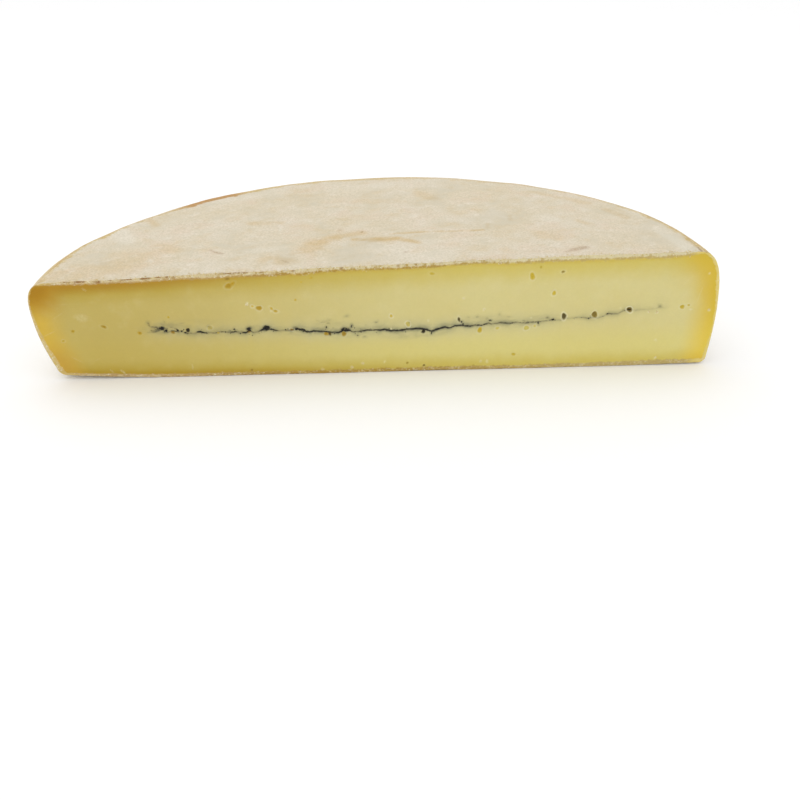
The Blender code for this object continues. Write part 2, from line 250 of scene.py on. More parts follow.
# Eyes at the cut, in millimetres and degrees: place along the cut, height, width, height of the mouth,
# lean, how dark it is inside, which is painted shade in the hollow and ash where it fell in, and how pale
# its rim is, a painted highlight
EYES = (
    (-161.1, 29.2, 1.9, 1.7, 0, 0.2, 0.0), (-167.3, 23.6, 1.3, 1.3, 0, 0.1, 0.2),
    (-144.3, 31.4, 2.6, 1.7, -20, 0.3, 0.1), (-126.0, 27.2, 2.2, 2.0, 0, 0.2, 0.0),
    (-109.4, 36.2, 1.3, 1.2, 0, 0.15, 0.0), (-75.8, 53.2, 4.2, 2.8, 22, 0.22, 0.2),
    (-73.6, 54.4, 3.2, 1.9, 34, 0.18, 0.1), (-76.0, 57.2, 2.4, 1.5, 0, 0.4, 0.0),
    (-61.0, 40.2, 3.0, 2.7, 0, 0.2, 0.4), (-64.4, 41.4, 1.3, 1.2, 0, 0.0, 0.6),
    (-54.4, 39.9, 2.2, 1.2, -50, 0.1, 0.3), (-52.4, 38.3, 2.6, 1.3, -14, 0.2, 0.4),
    (-41.4, 44.6, 1.3, 1.2, 0, 0.0, 0.0), (-32.4, 56.8, 1.7, 1.2, 0, 0.1, 0.0),
    (-37.7, 54.6, 1.1, 1.0, 0, 0.0, 0.0), (9.4, 34.0, 1.3, 1.8, 0, 0.1, 0.6),
    (18.5, 29.0, 2.3, 2.8, 0, -0.40, 0.70), (31.2, 57.8, 2.9, 1.3, -8, 0.1, 0.1),
    (57.8, 24.4, 2.5, 3.2, 0, 0.05, 0.3), (67.4, 25.3, 1.9, 1.6, 0, -0.4, 0.3),
    (83.4, 25.0, 2.5, 2.8, 0, -0.45, 0.5), (87.9, 26.1, 1.1, 1.5, 0, -0.4, 0.3),
    (77.2, 9.0, 2.3, 1.7, 0, 0.0, 0.1), (84.6, 55.1, 2.6, 3.8, 8, 0.0, 0.3),
    (88.7, 60.2, 1.3, 1.2, 0, 0.2, 0.0), (100.7, 57.3, 1.8, 1.2, 0, 0.5, 0.3),
    (97.0, 45.1, 1.9, 2.8, 0, 0.0, 0.5), (168.1, 35.4, 2.2, 2.6, 15, 0.1, 0.3),
    (171.5, 36.4, 1.3, 1.1, 0, 0.1, 0.3), (-108.2, 27.2, 2.2, 1.5, 0, 0.5, 0.0),
    (-100.1, 28.3, 2.2, 2.1, 0, 1.0, 0.0), (-88.2, 29.4, 2.6, 2.2, 0, -0.30, 0.25),
    (-67.6, 26.7, 1.8, 1.5, 0, 0.6, 0.0), (-44.5, 27.2, 1.6, 1.3, 0, 0.6, 0.3),
    (-26.0, 24.2, 2.3, 2.2, 0, 0.3, 0.1), (-24.0, 24.2, 1.4, 2.0, 0, 0.8, 0.0),
    (-16.4, 23.9, 2.7, 2.5, 0, 0.35, 0.2), (27.0, 24.4, 2.0, 2.4, 0, 1.0, 0.1),
    (46.2, 31.0, 1.3, 2.8, 20, 0.8, 0.3), (103.6, 31.4, 2.2, 4.2, 12, 0.76, 0.7),
    (120.3, 32.0, 2.8, 4.0, 0, 0.50, 0.4), (139.2, 34.5, 2.7, 3.2, 25, 0.62, 0.9),
    (-84.1, 26.3, 1.2, 0.8, 0, 0.2, 0.0), (-68.2, 3.0, 1.5, 1.4, 0, 0.4, 0.0),
    (18.1, 5.1, 1.4, 1.2, 0, 0.4, 0.0), (27.4, 3.3, 1.3, 1.3, 0, 0.7, 0.1),
    (55.1, 2.6, 1.3, 1.0, 0, 0.3, 0.0),
)

# Pale flecks and scrapes that the knife left on the paste, in millimetres and degrees as the ash spots
PALE_FLECKS = (
    (149.9, 33.0, 1.4, 1.5, 0, 0.7), (154.5, 32.5, 1.6, 1.9, 0, 0.9), (183.2, 33.2, 1.4, 1.7, 0, 0.8),
    (173.0, 33.8, 2.0, 1.2, 0, 0.5), (134.2, 35.6, 1.2, 1.4, 0, 0.4), (85.5, 31.0, 1.3, 1.0, 0, 0.4),
    (59.5, 36.7, 1.5, 1.8, 0, 0.7), (48.4, 43.6, 1.4, 1.3, 0, 0.9), (9.4, 26.5, 0.9, 1.0, 0, 0.9),
    (-12.7, 3.4, 1.7, 1.6, 0, 1.0), (-6.6, 5.8, 2.0, 1.4, -20, 0.8), (5.6, 6.4, 1.6, 1.8, -30, 0.6),
    (59.1, 5.2, 1.4, 1.6, 0, 0.8), (62.6, 5.0, 1.6, 2.4, 20, 0.6), (157.6, 4.5, 1.5, 1.5, 0, 0.9),
    (156.4, 15.6, 2.0, 1.4, -20, 0.5), (-155.0, 37.0, 7.0, 4.0, 0, 0.25), (-29.0, 2.4, 2.2, 1.8, 0, 0.5),
    (-67.1, 42.9, 1.8, 2.0, 0, 1.0), (29.6, 30.9, 1.6, 2.0, 0, 0.4), (-54.8, 38.4, 1.2, 1.0, 0, 0.5),
    (-173.5, 28.2, 6.8, 0.4, 25, 0.25), (-162.2, 12.2, 6.4, 0.5, -33, 0.2),
    (-151.6, 11.7, 4.4, 0.4, 28, 0.15), (-150.6, 53.0, 2.8, 0.6, -45, 0.4),
    (-138.8, 4.2, 3.2, 0.9, -50, 0.8), (-100.3, 6.0, 0.7, 3.4, 0, 0.5), (-166.8, 38.6, 7.5, 0.4, 30, 0.15),
    (-157.0, 44.8, 14.0, 0.4, 0, 0.12), (168.0, 50.0, 6.0, 0.5, 55, 0.2), (176.6, 43.0, 0.6, 9.0, -10, 0.2),
    (179.6, 54.6, 1.2, 1.4, 0, 0.6), (-144.6, 4.6, 2.6, 0.6, -50, 0.4),
)

# Cracks where the top rind meets the cut, painted dark brown as the shade in them, in millimetres: from, to,
# depth below the edge, width
RIND_CRACKS = (
    (-161.0, -157.5, 0.3, 0.5), (-155.0, -149.5, 0.4, 0.9), (-144.4, -141.5, 0.9, 1.0),
    (-137.0, -135.6, 0.2, 0.4), (-131.0, -124.5, 0.4, 0.6), (-121.0, -115.5, 0.5, 1.0),
    (-113.0, -109.8, 0.3, 0.5), (-108.0, -105.8, 0.5, 0.7), (-104.6, -102.5, 0.7, 0.5),
    (-78.0, -72.2, 0.5, 0.4), (-72.0, -65.0, 0.3, 0.5), (-58.6, -57.2, 0.4, 0.6), (-42.0, -40.4, 0.6, 1.1),
    (-17.0, -15.4, 0.6, 1.1), (12.6, 14.2, 0.6, 1.1), (22.4, 23.6, 0.3, 0.7), (35.4, 36.4, 0.2, 0.5),
)

# Thickness of the rind where the knife cut it, in millimetres: along the top and the foot of the cut by
# place from the wheel's axis, and down its two ends by height
TOP_RIND = (
    (-178, 1.0), (-165, 1.5), (-150, 1.9), (-135, 1.8), (-120, 2.5), (-104, 1.9), (-95, 2.5), (-84, 2.9),
    (-70, 2.3), (-60, 2.6), (-45, 2.2), (-38, 2.9), (-25, 2.2), (0, 2.1), (12, 2.4), (30, 2.3), (45, 1.7),
    (60, 1.8), (70, 2.3), (90, 1.8), (105, 2.4), (125, 2.6), (140, 2.2), (155, 2.4), (166, 1.8), (174, 0.7),
)
FOOT_RIND = (
    (-172, 1.6), (-150, 2.1), (-120, 2.1), (-60, 1.8), (0, 2.1), (40, 2.5), (90, 2.3), (150, 3.1),
    (182, 2.6),
)
LEFT_RIND = ((2, 3.6), (10, 3.2), (20, 2.6), (30, 1.9), (38, 1.3), (45, 0.9), (54, 0.6))
RIGHT_RIND = ((2, 2.4), (8, 1.8), (18, 1.0), (30, 1.0), (40, 1.5), (50, 1.9), (58, 1.3), (64, 2.0))

# Marks on the top, in millimetres from the wheel's axis along the cut and from the cut: ends, width, strength
DARK_MARKS = (
    (102.0, 7.0, 107.5, 9.6, 2.6, 0.4), (106.0, 9.2, 112.6, 12.2, 4.4, 0.55),
    (110.6, 12.0, 113.6, 13.0, 3.4, 0.6), (-91.0, 35.4, -87.6, 31.4, 1.2, 0.5),
    (-87.6, 31.4, -83.6, 28.6, 1.8, 0.65), (-49.6, 15.2, -46.6, 11.2, 1.2, 0.5),
    (-7.2, 52.8, -7.0, 54.2, 1.3, 0.8), (16.4, 17.6, 16.4, 18.8, 1.6, 0.4),
    (87.4, 9.4, 87.6, 10.4, 1.3, 0.3), (-19.8, 57.6, -19.8, 59.6, 2.0, 0.25),
    (171.4, 20.0, 172.6, 8.0, 1.0, 0.7), (172.6, 8.0, 173.0, -4.0, 1.1, 0.9),
)
TAN_MARKS = (
    (-158.0, 6.0, -128.0, 26.0, 26.0, 0.40), (-33.0, 38.0, -20.5, 46.0, 11.0, 0.75),
    (-22.0, 46.0, -8.0, 52.0, 7.0, 0.6), (-12.0, 41.6, -1.0, 39.8, 4.5, 1.0),
    (-1.0, 39.8, 12.0, 39.0, 7.0, 0.95), (12.0, 38.4, 24.0, 31.6, 4.6, 0.8),
    (-43.0, 25.0, -33.0, 31.0, 8.5, 0.5), (-57.0, 16.0, -48.0, 13.0, 11.0, 0.5),
    (10.0, 48.2, 62.0, 48.2, 3.0, 0.75), (92.0, 38.0, 101.0, 30.0, 8.0, 0.35),
    (-163.0, 8.0, -162.0, 20.0, 4.0, 0.5), (-120.0, 44.0, -112.0, 36.0, 11.0, 0.35),
    (-72.0, 78.0, -56.0, 76.0, 6.5, 0.4), (118.0, 57.0, 122.0, 51.0, 4.5, 0.4),
    (139.0, 75.0, 147.0, 60.0, 5.0, 0.45), (65.0, 51.0, 66.0, 59.0, 2.6, 0.35),
    (80.0, 63.0, 81.0, 71.0, 2.6, 0.35), (-136.0, 92.0, -130.0, 82.0, 5.0, 0.5),
    (30.0, 126.0, 38.0, 112.0, 9.0, 0.4), (-40.0, 164.0, 46.0, 163.0, 7.0, 0.35),
    (105.0, 116.0, 132.0, 88.0, 6.0, 0.35), (-8.0, 112.0, 12.0, 110.0, 10.0, 0.3),
)
PALE_MARKS = (
    (-150.0, 72.0, -141.0, 57.0, 12.0, 0.8), (-54.6, 62.5, -54.6, 67.5, 1.2, 1.0),
    (8.0, 22.0, 30.0, 8.0, 22.0, 0.38), (150.0, 76.0, 158.0, 60.0, 6.0, 0.6),
    (160.0, 38.0, 167.0, 4.0, 8.0, 0.9), (-68.0, 30.0, -52.0, 34.0, 8.0, 0.45),
    (28.0, 33.0, 48.0, 31.0, 7.0, 0.35), (98.0, 68.0, 104.0, 60.0, 9.0, 0.45),
    (-14.0, 60.0, -4.0, 70.0, 7.0, 0.35), (-20.0, 140.0, 20.0, 145.0, 16.0, 0.4),
    (-100.0, 122.0, -60.0, 140.0, 12.0, 0.35),
)

# How strongly the rim is stained, from 0 to 1, by the way round the wheel from its back, in millimetres
# and more towards -X, where that stain is orange-brown, and how far in from the side it reaches
RIM_STAIN = (
    (-289, 0.9), (-230, 0.7), (-170, 0.35), (-100, 0.25), (-60, 0.2), (-20, 0.45), (60, 0.6), (85, 0.8),
    (103, 1.0), (139, 1.0), (152, 0.45), (170, 0.3), (200, 0.8), (250, 0.8), (275, 0.5), (289, 0.45),
)
ORANGE_RIM = ((88, 0.0), (103, 1.0), (136, 1.0), (150, 0.0))
RIM_STRIP = (
    (-289, 6.4), (-230, 7.0), (-150, 8.0), (-60, 10.2), (80, 10.2), (103, 11.8), (136, 11.8), (150, 8.8),
    (200, 7.2), (289, 6.6),
)


def ray(turn, radius, start):
    """Distance from the middle of the cut's chord, start behind the axis, out to the circle."""
    return -start * np.sin(turn) + np.sqrt(radius**2 - (start * np.cos(turn)) ** 2)


def drum_profile():
    """Radius, height and length run down the outside: shoulder, side and the rounded bottom edge."""
    turn = np.radians(np.linspace(0, 90, 241))
    out = np.sin(turn) ** (2 / SHOULDER_POWER)
    up = np.clip(np.cos(turn), 0, 1) ** (2 / SHOULDER_POWER)
    radius = FLAT_RADIUS + (WIDEST_RADIUS - FLAT_RADIUS) * out
    share = WAIST + (1 - WAIST) * up
    down = np.linspace(0, 1, 121)[1:]
    edge_share = BOTTOM_EDGE / THICKNESS
    outer = WIDEST_RADIUS - TAPER
    bend = np.radians(np.linspace(0, 90, 61))[1:]
    flank = WIDEST_RADIUS - TAPER * down**TAPER_POWER
    radius = np.concatenate((radius, flank, outer - BOTTOM_EDGE * (1 - np.cos(bend))))
    share = np.concatenate((share, WAIST + (edge_share - WAIST) * down, edge_share * (1 - np.sin(bend))))
    height = share * THICKNESS
    steps = np.hypot(np.diff(radius), np.diff(height))
    return radius, height, np.concatenate(([0.0], np.cumsum(steps)))


PROFILE_RADIUS, PROFILE_HEIGHT, PROFILE_RUN = drum_profile()
FOOT_RUN = PROFILE_RUN[-1]
RIM_RUN = float(np.interp(math.degrees(RIM_TURN), np.linspace(0, 90, 241), PROFILE_RUN[:241]))


def profile_at(run):
    """Radius, height and the outward direction's two parts at a length along the profile."""
    ahead = np.minimum(run + 0.2 * MM, FOOT_RUN)
    behind = np.maximum(run - 0.2 * MM, 0.0)
    radius, height = np.interp(run, PROFILE_RUN, PROFILE_RADIUS), np.interp(run, PROFILE_RUN, PROFILE_HEIGHT)
    out = np.interp(ahead, PROFILE_RUN, PROFILE_RADIUS) - np.interp(behind, PROFILE_RUN, PROFILE_RADIUS)
    rise = np.interp(ahead, PROFILE_RUN, PROFILE_HEIGHT) - np.interp(behind, PROFILE_RUN, PROFILE_HEIGHT)
    length = np.hypot(out, rise)
    return radius, height, -rise / length, out / length


def noise_at(points, size):
    """Smooth noise from about -1 to 1 at each point, with lumps of that size in metres."""
    return np.array([noise.noise(p) for p in (points / size).tolist()])


def smooth(value, low, high):
    """0 at low, 1 at high and smooth between; low may be the larger of the two."""
    share = np.clip((value - low) / (high - low), 0, 1)
    return share * share * (3 - 2 * share)


def settle(drum):
    """Points of the even drum, moved to where the settled wheel has them, with the cut kept flat."""
    x0, y0, z0 = drum.T
    drum_radius = np.hypot(x0, y0)
    angle = np.arctan2(y0, x0)
    share = z0 / THICKNESS
    out = drum_radius / WIDEST_RADIUS
    beyond_foot = np.clip((drum_radius - FOOT_RADIUS) / (WIDEST_RADIUS - FOOT_RADIUS), 0, None)
    reach = np.where(angle > SWELL_TURN, SWELL_TOWARDS_CUT, SWELL_TOWARDS_BACK)
    behind = smooth(y0 - CUT_OFFSET, 0.0, SWELL_START)
    swell = np.exp(-(((angle - SWELL_TURN) / reach) ** 2)) * behind * out**2
    radius = drum_radius + OUT_OF_ROUND * np.cos(LOBES * (angle - LOBE_TURN)) * out**2 + SWELL_OUT * swell
    x = radius * np.cos(angle) + TOP_SHIFT + LEAN * (1 - share)
    y = radius * np.sin(angle)
    top = THICKNESS + RISE_TOWARDS_X * x + CROWN * (1 - out**2) + SWELL_UP * swell
    bottom = (EDGE_LIFT + LIFT_TOWARDS_X * np.cos(angle)) * beyond_foot**2
    z = bottom + share * (top - bottom)
    places = np.stack((x, y, z), 1)
    layers = [places + np.array((0.0, 0.0, DENT_LAYERS_APART * DENT_SPACING * layer)) for layer in range(3)]
    dents = np.stack([noise_at(layer, DENT_SPACING) for layer in layers], 1) * DENT
    sideways = (out**DENT_POWER)[:, None]
    places += dents * np.concatenate((sideways, sideways, share[:, None]), 1)
    at_cut = np.exp(-np.clip(y0 - CUT_OFFSET, 0, None) / CUT_BLEND)
    places[:, 1] += at_cut * (y0 - places[:, 1])
    return places + np.array((AXIS_X, AXIS_Y, 0.0))


class Skin:
    """Points, faces and values of one closed piece, gathered patch by patch."""

    def __init__(self):
        self.points, self.outward, self.cloth, self.sheet = [], [], [], []
        self.faces, self.corners = [], []
        self.count = 0

    def add(self, points, outward=None, cloth=None, sheet=None):
        """Adds points, with each one's outward direction, cloth place and place on the flat sheet."""
        number = len(points)
        self.points.append(points)
        self.outward.append(np.zeros((number, 3)) if outward is None else outward)
        self.cloth.append(np.zeros((number, 3)) if cloth is None else cloth)
        self.sheet.append(np.zeros((number, 2)) if sheet is None else sheet)
        self.count += number
        return np.arange(self.count - number, self.count)

    def quads(self, table, shift=None):
        """Faces between neighbouring rows and columns of a table of point numbers."""
        quads = np.stack((table[:-1, :-1], table[:-1, 1:], table[1:, 1:], table[1:, :-1]), -1)
        shift = np.zeros(quads.shape[:2] + (2,)) if shift is None else shift
        self.faces += quads.reshape(-1, 4).tolist()
        self.corners += np.repeat(shift.reshape(-1, 2), 4, axis=0).tolist()

    def polygon(self, numbers):
        self.faces.append([int(n) for n in numbers])
        self.corners += [[0.0, 0.0]] * len(numbers)

    def mesh(self, name, sheet_size):
        """The closed mesh, faces outward, with its values and its flat sheet as a UV map."""
        mesh = bpy.data.meshes.new(name)
        mesh.from_pydata(np.concatenate(self.points).tolist(), [], self.faces)
        add_values(mesh, "outward", np.concatenate(self.outward))
        add_values(mesh, "cloth", np.concatenate(self.cloth))
        uv = mesh.uv_layers.new(name="OFBake")
        numbers = np.empty(len(mesh.loops), np.int32)
        mesh.loops.foreach_get("vertex_index", numbers)
        places = np.concatenate(self.sheet)[numbers] + np.array(self.corners)
        uv.data.foreach_set("uv", (places / sheet_size).astype(np.float32).ravel())
        if signed_volume(mesh) < 0:
            mesh.flip_normals()
        return mesh


def signed_volume(mesh):
    """Volume within a closed mesh, below zero if its faces point inwards."""
    mesh.calc_loop_triangles()
    corners = np.empty(len(mesh.loop_triangles) * 3, np.int32)
    mesh.loop_triangles.foreach_get("vertices", corners)
    places = np.empty(len(mesh.vertices) * 3, np.float32)
    mesh.vertices.foreach_get("co", places)
    a, b, c = places.reshape(-1, 3)[corners.reshape(-1, 3)].astype(float).transpose(1, 0, 2)
    return float(np.einsum("ij,ij->", a, np.cross(b, c)) / 6)


def add_values(mesh, name, values):
    """Stores a number or a vector for each point of the mesh."""
    values = np.asarray(values, np.float32)
    kind = "FLOAT_VECTOR" if values.ndim == 2 else "FLOAT"
    layer = mesh.attributes.new(name, kind, "POINT")
    layer.data.foreach_set("vector" if values.ndim == 2 else "value", values.ravel())


def add_object(name, data):
    """A new object of the scene, at the origin."""
    made = bpy.data.objects.new(name, data)
    bpy.context.scene.collection.objects.link(made)
    return made


def place(name, mesh, node, slot, material=None):
    """Puts a finished piece in the scene, riding on the cheese's body in place of a CAD node."""
    piece = add_object(name, mesh)
    if material:
        mesh.materials.append(material)
    mesh.shade_smooth()
    mesh.set_sharp_from_angle(angle=math.radians(50))
    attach(piece, "root")
    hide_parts(node)


class Wire:
    """A number or colour that runs from node to node, so that sums of it are written plainly."""

    def __init__(self, nodes, socket):
        self.nodes, self.socket = nodes, socket

    def __add__(self, other):
        return self.nodes.math("ADD", self, other)

    def __sub__(self, other):
        return self.nodes.math("SUBTRACT", self, other)

    def __rsub__(self, other):
        return self.nodes.math("SUBTRACT", other, self)

    def __mul__(self, other):
        return self.nodes.math("MULTIPLY", self, other)

    def __truediv__(self, other):
        return self.nodes.math("DIVIDE", self, other)

    def __pow__(self, other):
        return self.nodes.math("POWER", self, other)

    def clamped(self):
        """The same number, kept between 0 and 1."""
        self.socket.node.use_clamp = True
        return self


class Nodes:
    """Adds nodes to one tree. An input is a value, a wire, a socket, or a node for its first output."""

    def __init__(self, tree):
        self.tree = tree

    def add(self, kind, inputs=None, **settings):
        node = self.tree.nodes.new(kind)
        for name, value in settings.items():
            setattr(node, name, value)
        for name, value in (inputs or {}).items():
            self.join(node.inputs[name], value)
        return node

    def join(self, socket, value):
        value = value.socket if isinstance(value, Wire) else value
        value = value.outputs[0] if isinstance(value, bpy.types.Node) else value
        if isinstance(value, bpy.types.NodeSocket):
            self.tree.links.new(value, socket)
        else:
            socket.default_value = value

    def math(self, operation, a, b=0.0):
        return Wire(self, self.add("ShaderNodeMath", {0: a, 1: b}, operation=operation).outputs[0])

    def vector(self, operation, a, b):
        return self.add("ShaderNodeVectorMath", {0: a, 1: b}, operation=operation)

    def scaled(self, a, factor):
        return self.add("ShaderNodeVectorMath", {0: a, "Scale": factor}, operation="SCALE")

    def step(self, value, low, high):
        """0 at low, 1 at high and smooth between; low may be the larger of the two."""
        node = self.add("ShaderNodeMapRange", {0: value, 1: low, 2: high}, interpolation_type="SMOOTHSTEP")
        return Wire(self, node.outputs[0])

    def noise(self, place, size, detail=2.0, rough=0.5, twist=0.0, stretch=(1.0, 1.0, 1.0)):
        """Noise from 0 to 1 with lumps of that size in millimetres, longer where stretch is larger."""
        spread = tuple(1 / s for s in stretch)
        if spread != (1.0, 1.0, 1.0):
            place = self.vector("MULTIPLY", place, spread)
        lumps = {"Scale": 1 / (size * MM), "Detail": detail, "Roughness": rough, "Distortion": twist}
        return Wire(self, self.add("ShaderNodeTexNoise", {"Vector": place, **lumps}).outputs["Fac"])

    def paint(self, amount, under, over, mode="MIX"):
        """Colour over laid on colour under by an amount from 0 to 1. Either may be a shade from 0 to 255."""
        under, over = (shade(c) if isinstance(c, tuple) else c for c in (under, over))
        inputs = {"Factor": amount, 6: under, 7: over}
        return Wire(self, self.add("ShaderNodeMix", inputs, data_type="RGBA", blend_type=mode).outputs[2])

    def coats(self, colour, *coats):
        """Lays one coat on another; each is how much of it there is, from 0 to 1, and its colour."""
        for amount, over in coats:
            colour = self.paint(amount, colour, over)
        return colour

    def dim(self, colour, grey, blue):
        """The colour times a grey, with a number of its own for blue."""
        shade = self.add("ShaderNodeCombineXYZ", {0: grey, 1: grey, 2: blue})
        return self.paint(1.0, colour, shade, "MULTIPLY")

    def value(self, name):
        """A number stored on the mesh."""
        return Wire(self, self.add("ShaderNodeAttribute", attribute_name=name).outputs["Fac"])

    def parts(self, vector):
        node = self.add("ShaderNodeSeparateXYZ", {0: vector})
        return [Wire(self, node.outputs[i]) for i in range(3)]

    def finish(self, colour, rough, shine, height=None):
        """Joins colour, roughness, shine and fine relief to the tree's shader, and gives the shader."""
        shader = self.tree.nodes["Principled BSDF"]
        self.join(shader.inputs["Base Color"], colour)
        self.join(shader.inputs["Roughness"], rough)
        shader.inputs["Specular IOR Level"].default_value = shine
        if height is not None:
            bump = self.add("ShaderNodeBump", {"Height": height, "Strength": 1.0, "Distance": 1.0})
            self.join(shader.inputs["Normal"], bump)
        return shader


def shade(colour):
    """A colour as it looks on a screen, turned into the light that a surface gives back."""
    parts = [c / 255 for c in colour]
    return (*(c / 12.92 if c <= 0.04045 else ((c + 0.055) / 1.055) ** 2.4 for c in parts), 1.0)


def new_finish(name):
    """A material, its node maker and each point's place on the object."""
    material = bpy.data.materials.new(name)
    material.use_nodes = True
    nodes = Nodes(material.node_tree)
    return material, nodes, nodes.add("ShaderNodeTexCoord").outputs["Object"]


def cloth_dashes(nodes, along, down):
    """Short slanted pits left by the weave of the cloth, 0 between them and 1 inside."""
    row = down / CLOTH_ROW
    across = along / CLOTH_PITCH - nodes.math("FLOOR", row) * (1 / 3)
    side = (nodes.math("FRACT", across + 0.5) - 0.5) * CLOTH_PITCH
    rise = (nodes.math("FRACT", row) - 0.5) * CLOTH_ROW
    cosine, sine = math.cos(DASH_LEAN), math.sin(DASH_LEAN)
    long_way = (side * cosine + rise * sine) / (DASH_LENGTH / 2)
    wide_way = (rise * cosine - side * sine) / (DASH_WIDTH / 2)
    return nodes.step(long_way * long_way + wide_way * wide_way, 1.5, 0.2)


def top_tones(nodes, broad, cloud, patchy, fine):
    """Mottled beige of the top, and the tan, pale and dark marks that lie on it."""
    return nodes.coats(
        nodes.paint(nodes.step(broad, 0.36, 0.64), (211, 199, 174), (213, 203, 182)),
        (nodes.step(cloud, 0.48, 0.66) * 0.5, (213, 195, 171)),
        (nodes.step(patchy, 0.5, 0.7) * 0.5, (206, 188, 153)),
        (nodes.step(patchy, 0.48, 0.32) * 0.5, (220, 211, 194)),
        (nodes.step(cloud, 0.46, 0.3) * 0.4, (218, 211, 196)),
        ((nodes.value("tan") * nodes.step(patchy, 0.22, 0.56)).clamped(), (202, 178, 134)),
        ((nodes.value("pale") * nodes.step(patchy, 0.2, 0.6)).clamped() * 0.8, (222, 215, 199)),
        ((nodes.value("dark") * nodes.step(fine, 0.32, 0.62)).clamped(), (138, 100, 52)),
    )


def side_tones(nodes, place, along, down, dash, lumps):
    """Cream and tan of the side under a white bloom, stained in the pits that the cloth left."""
    broad, cloud, patchy, small, fine = lumps
    warmth = nodes.noise(place, 40.0, 3.0, 0.6, 0.4, (1.8, 1.8, 1.0))
    low = nodes.step(down + cloud * (20 * MM), 42 * MM, 62 * MM)
    bloom = nodes.noise(place, 20.0, 4.0, 0.62, 0.2, (3.0, 3.0, 1.0))
    bloom = bloom + (broad - 0.5) * 0.5 + (small - 0.5) * 0.35 + (fine - 0.5) * 0.2
    middle = nodes.step(down, 8 * MM, 26 * MM) * nodes.step(down, 54 * MM, 36 * MM)
    white = nodes.step(bloom + middle * 0.06, 0.46, 0.66)
    ribs = nodes.math("FRACT", (along * 0.64 + down * 0.77 + small * (1 * MM)) / (1.5 * MM))
    ribs = nodes.step(ribs, 0.2, 0.4) * nodes.step(ribs, 0.75, 0.55) * low * nodes.step(patchy, 0.36, 0.6)
    pit = nodes.paint(nodes.step(warmth, 0.4, 0.64), (186, 162, 106), (190, 148, 92))
    return nodes.coats(
        nodes.paint(nodes.step(cloud, 0.36, 0.62), (216, 204, 176), (220, 211, 189)),
        (nodes.step(patchy, 0.5, 0.72) * 0.45, (208, 190, 148)),
        (nodes.step(warmth, 0.52, 0.72) * 0.5, (208, 178, 130)),
        (low * 0.7, (204, 187, 150)),
        (white * 0.7, (227, 224, 211)),
        (ribs * 0.6, (229, 223, 200)),
        (dash * (0.8 - white * 0.45), pit),
    )


def rim_tones(nodes, colour, down, patchy, small, fine):
    """The golden band below the rim and its stain on the top, which ends in a thin brown line."""
    rim, strip = nodes.value("rim"), nodes.value("strip")
    golden = nodes.coats(
        nodes.paint(nodes.step(patchy, 0.35, 0.65), (208, 187, 136), (198, 171, 108)),
        (nodes.step(fine, 0.45, 0.7) * 0.55, (222, 208, 166)),
        (nodes.value("orange"), (186, 146, 94)),
    )
    ragged = down + (patchy - 0.5) * (9 * MM) + small * (2 * MM)
    stain = nodes.step(ragged + strip, 0.0, 2.2 * MM) * nodes.step(ragged, 4.0 * MM, 1.0 * MM)
    torn = ragged + (small - 0.5) * (6 * MM)
    band = nodes.step(torn, -1.0 * MM, 1.0 * MM) * nodes.step(torn, 6.5 * MM, 4.0 * MM) * (rim * 0.35 + 0.5)
    edge = down + (patchy - 0.5) * (4 * MM) + strip
    line = nodes.step(edge, 1.0 * MM, 1.9 * MM) * nodes.step(edge, 3.2 * MM, 2.3 * MM)
    return nodes.coats(
        colour,
        ((stain * rim).clamped(), golden),
        (band * nodes.step(fine, 0.25, 0.55), golden),
        (line * (rim * nodes.step(small, 0.3, 0.55)) * 0.62, (172, 130, 80)),
    )


def rind_finish():
    """Dry pale rind: mottled beige on the top, ochre along the rim, cloth marks and bloom on the side."""
    material, nodes, place = new_finish("rind_finish")
    cloth = nodes.add("ShaderNodeAttribute", attribute_name="cloth")
    along, down, _ = nodes.parts(cloth.outputs["Vector"])
    broad = nodes.noise(place, 60.0, 3.0, 0.55, 0.4)
    cloud = nodes.noise(place, 28.0, 4.0, 0.62, 0.3)
    patchy = nodes.noise(place, 11.0, 4.0, 0.65, 0.2)
    small = nodes.noise(place, 4.0, 3.0, 0.6)
    fine = nodes.noise(place, 1.1, 2.0, 0.6)
    grit = nodes.noise(place, 0.6, 2.0, 0.6)

    dash = (cloth_dashes(nodes, along, down) * nodes.value("pressed")).clamped()
    dash = (dash * nodes.step(small, 0.2, 0.52)).clamped()
    top = top_tones(nodes, broad, cloud, patchy, fine)
    side = side_tones(nodes, place, along, down, dash, (broad, cloud, patchy, small, fine))
    colour = nodes.paint(nodes.step(down + (small - 0.5) * (4 * MM), -1 * MM, 4 * MM), top, side)
    colour = rim_tones(nodes, colour, down, patchy, small, fine)
    weave = nodes.step(fine, 0.28, 0.72) * nodes.step(cloud, 0.28, 0.52)
    grain = weave * 0.19 + grit * 0.2 + small * 0.08 + 0.765
    pits = dash * nodes.step(down, -1 * MM, 4 * MM) * (-0.12 * MM)
    height = small * (0.1 * MM) + fine * (0.16 * MM) + grit * (0.05 * MM) + pits
    nodes.finish(nodes.dim(colour, grain, grain ** 1.35), fine * 0.2 + 0.7, 0.25, height)
    return material


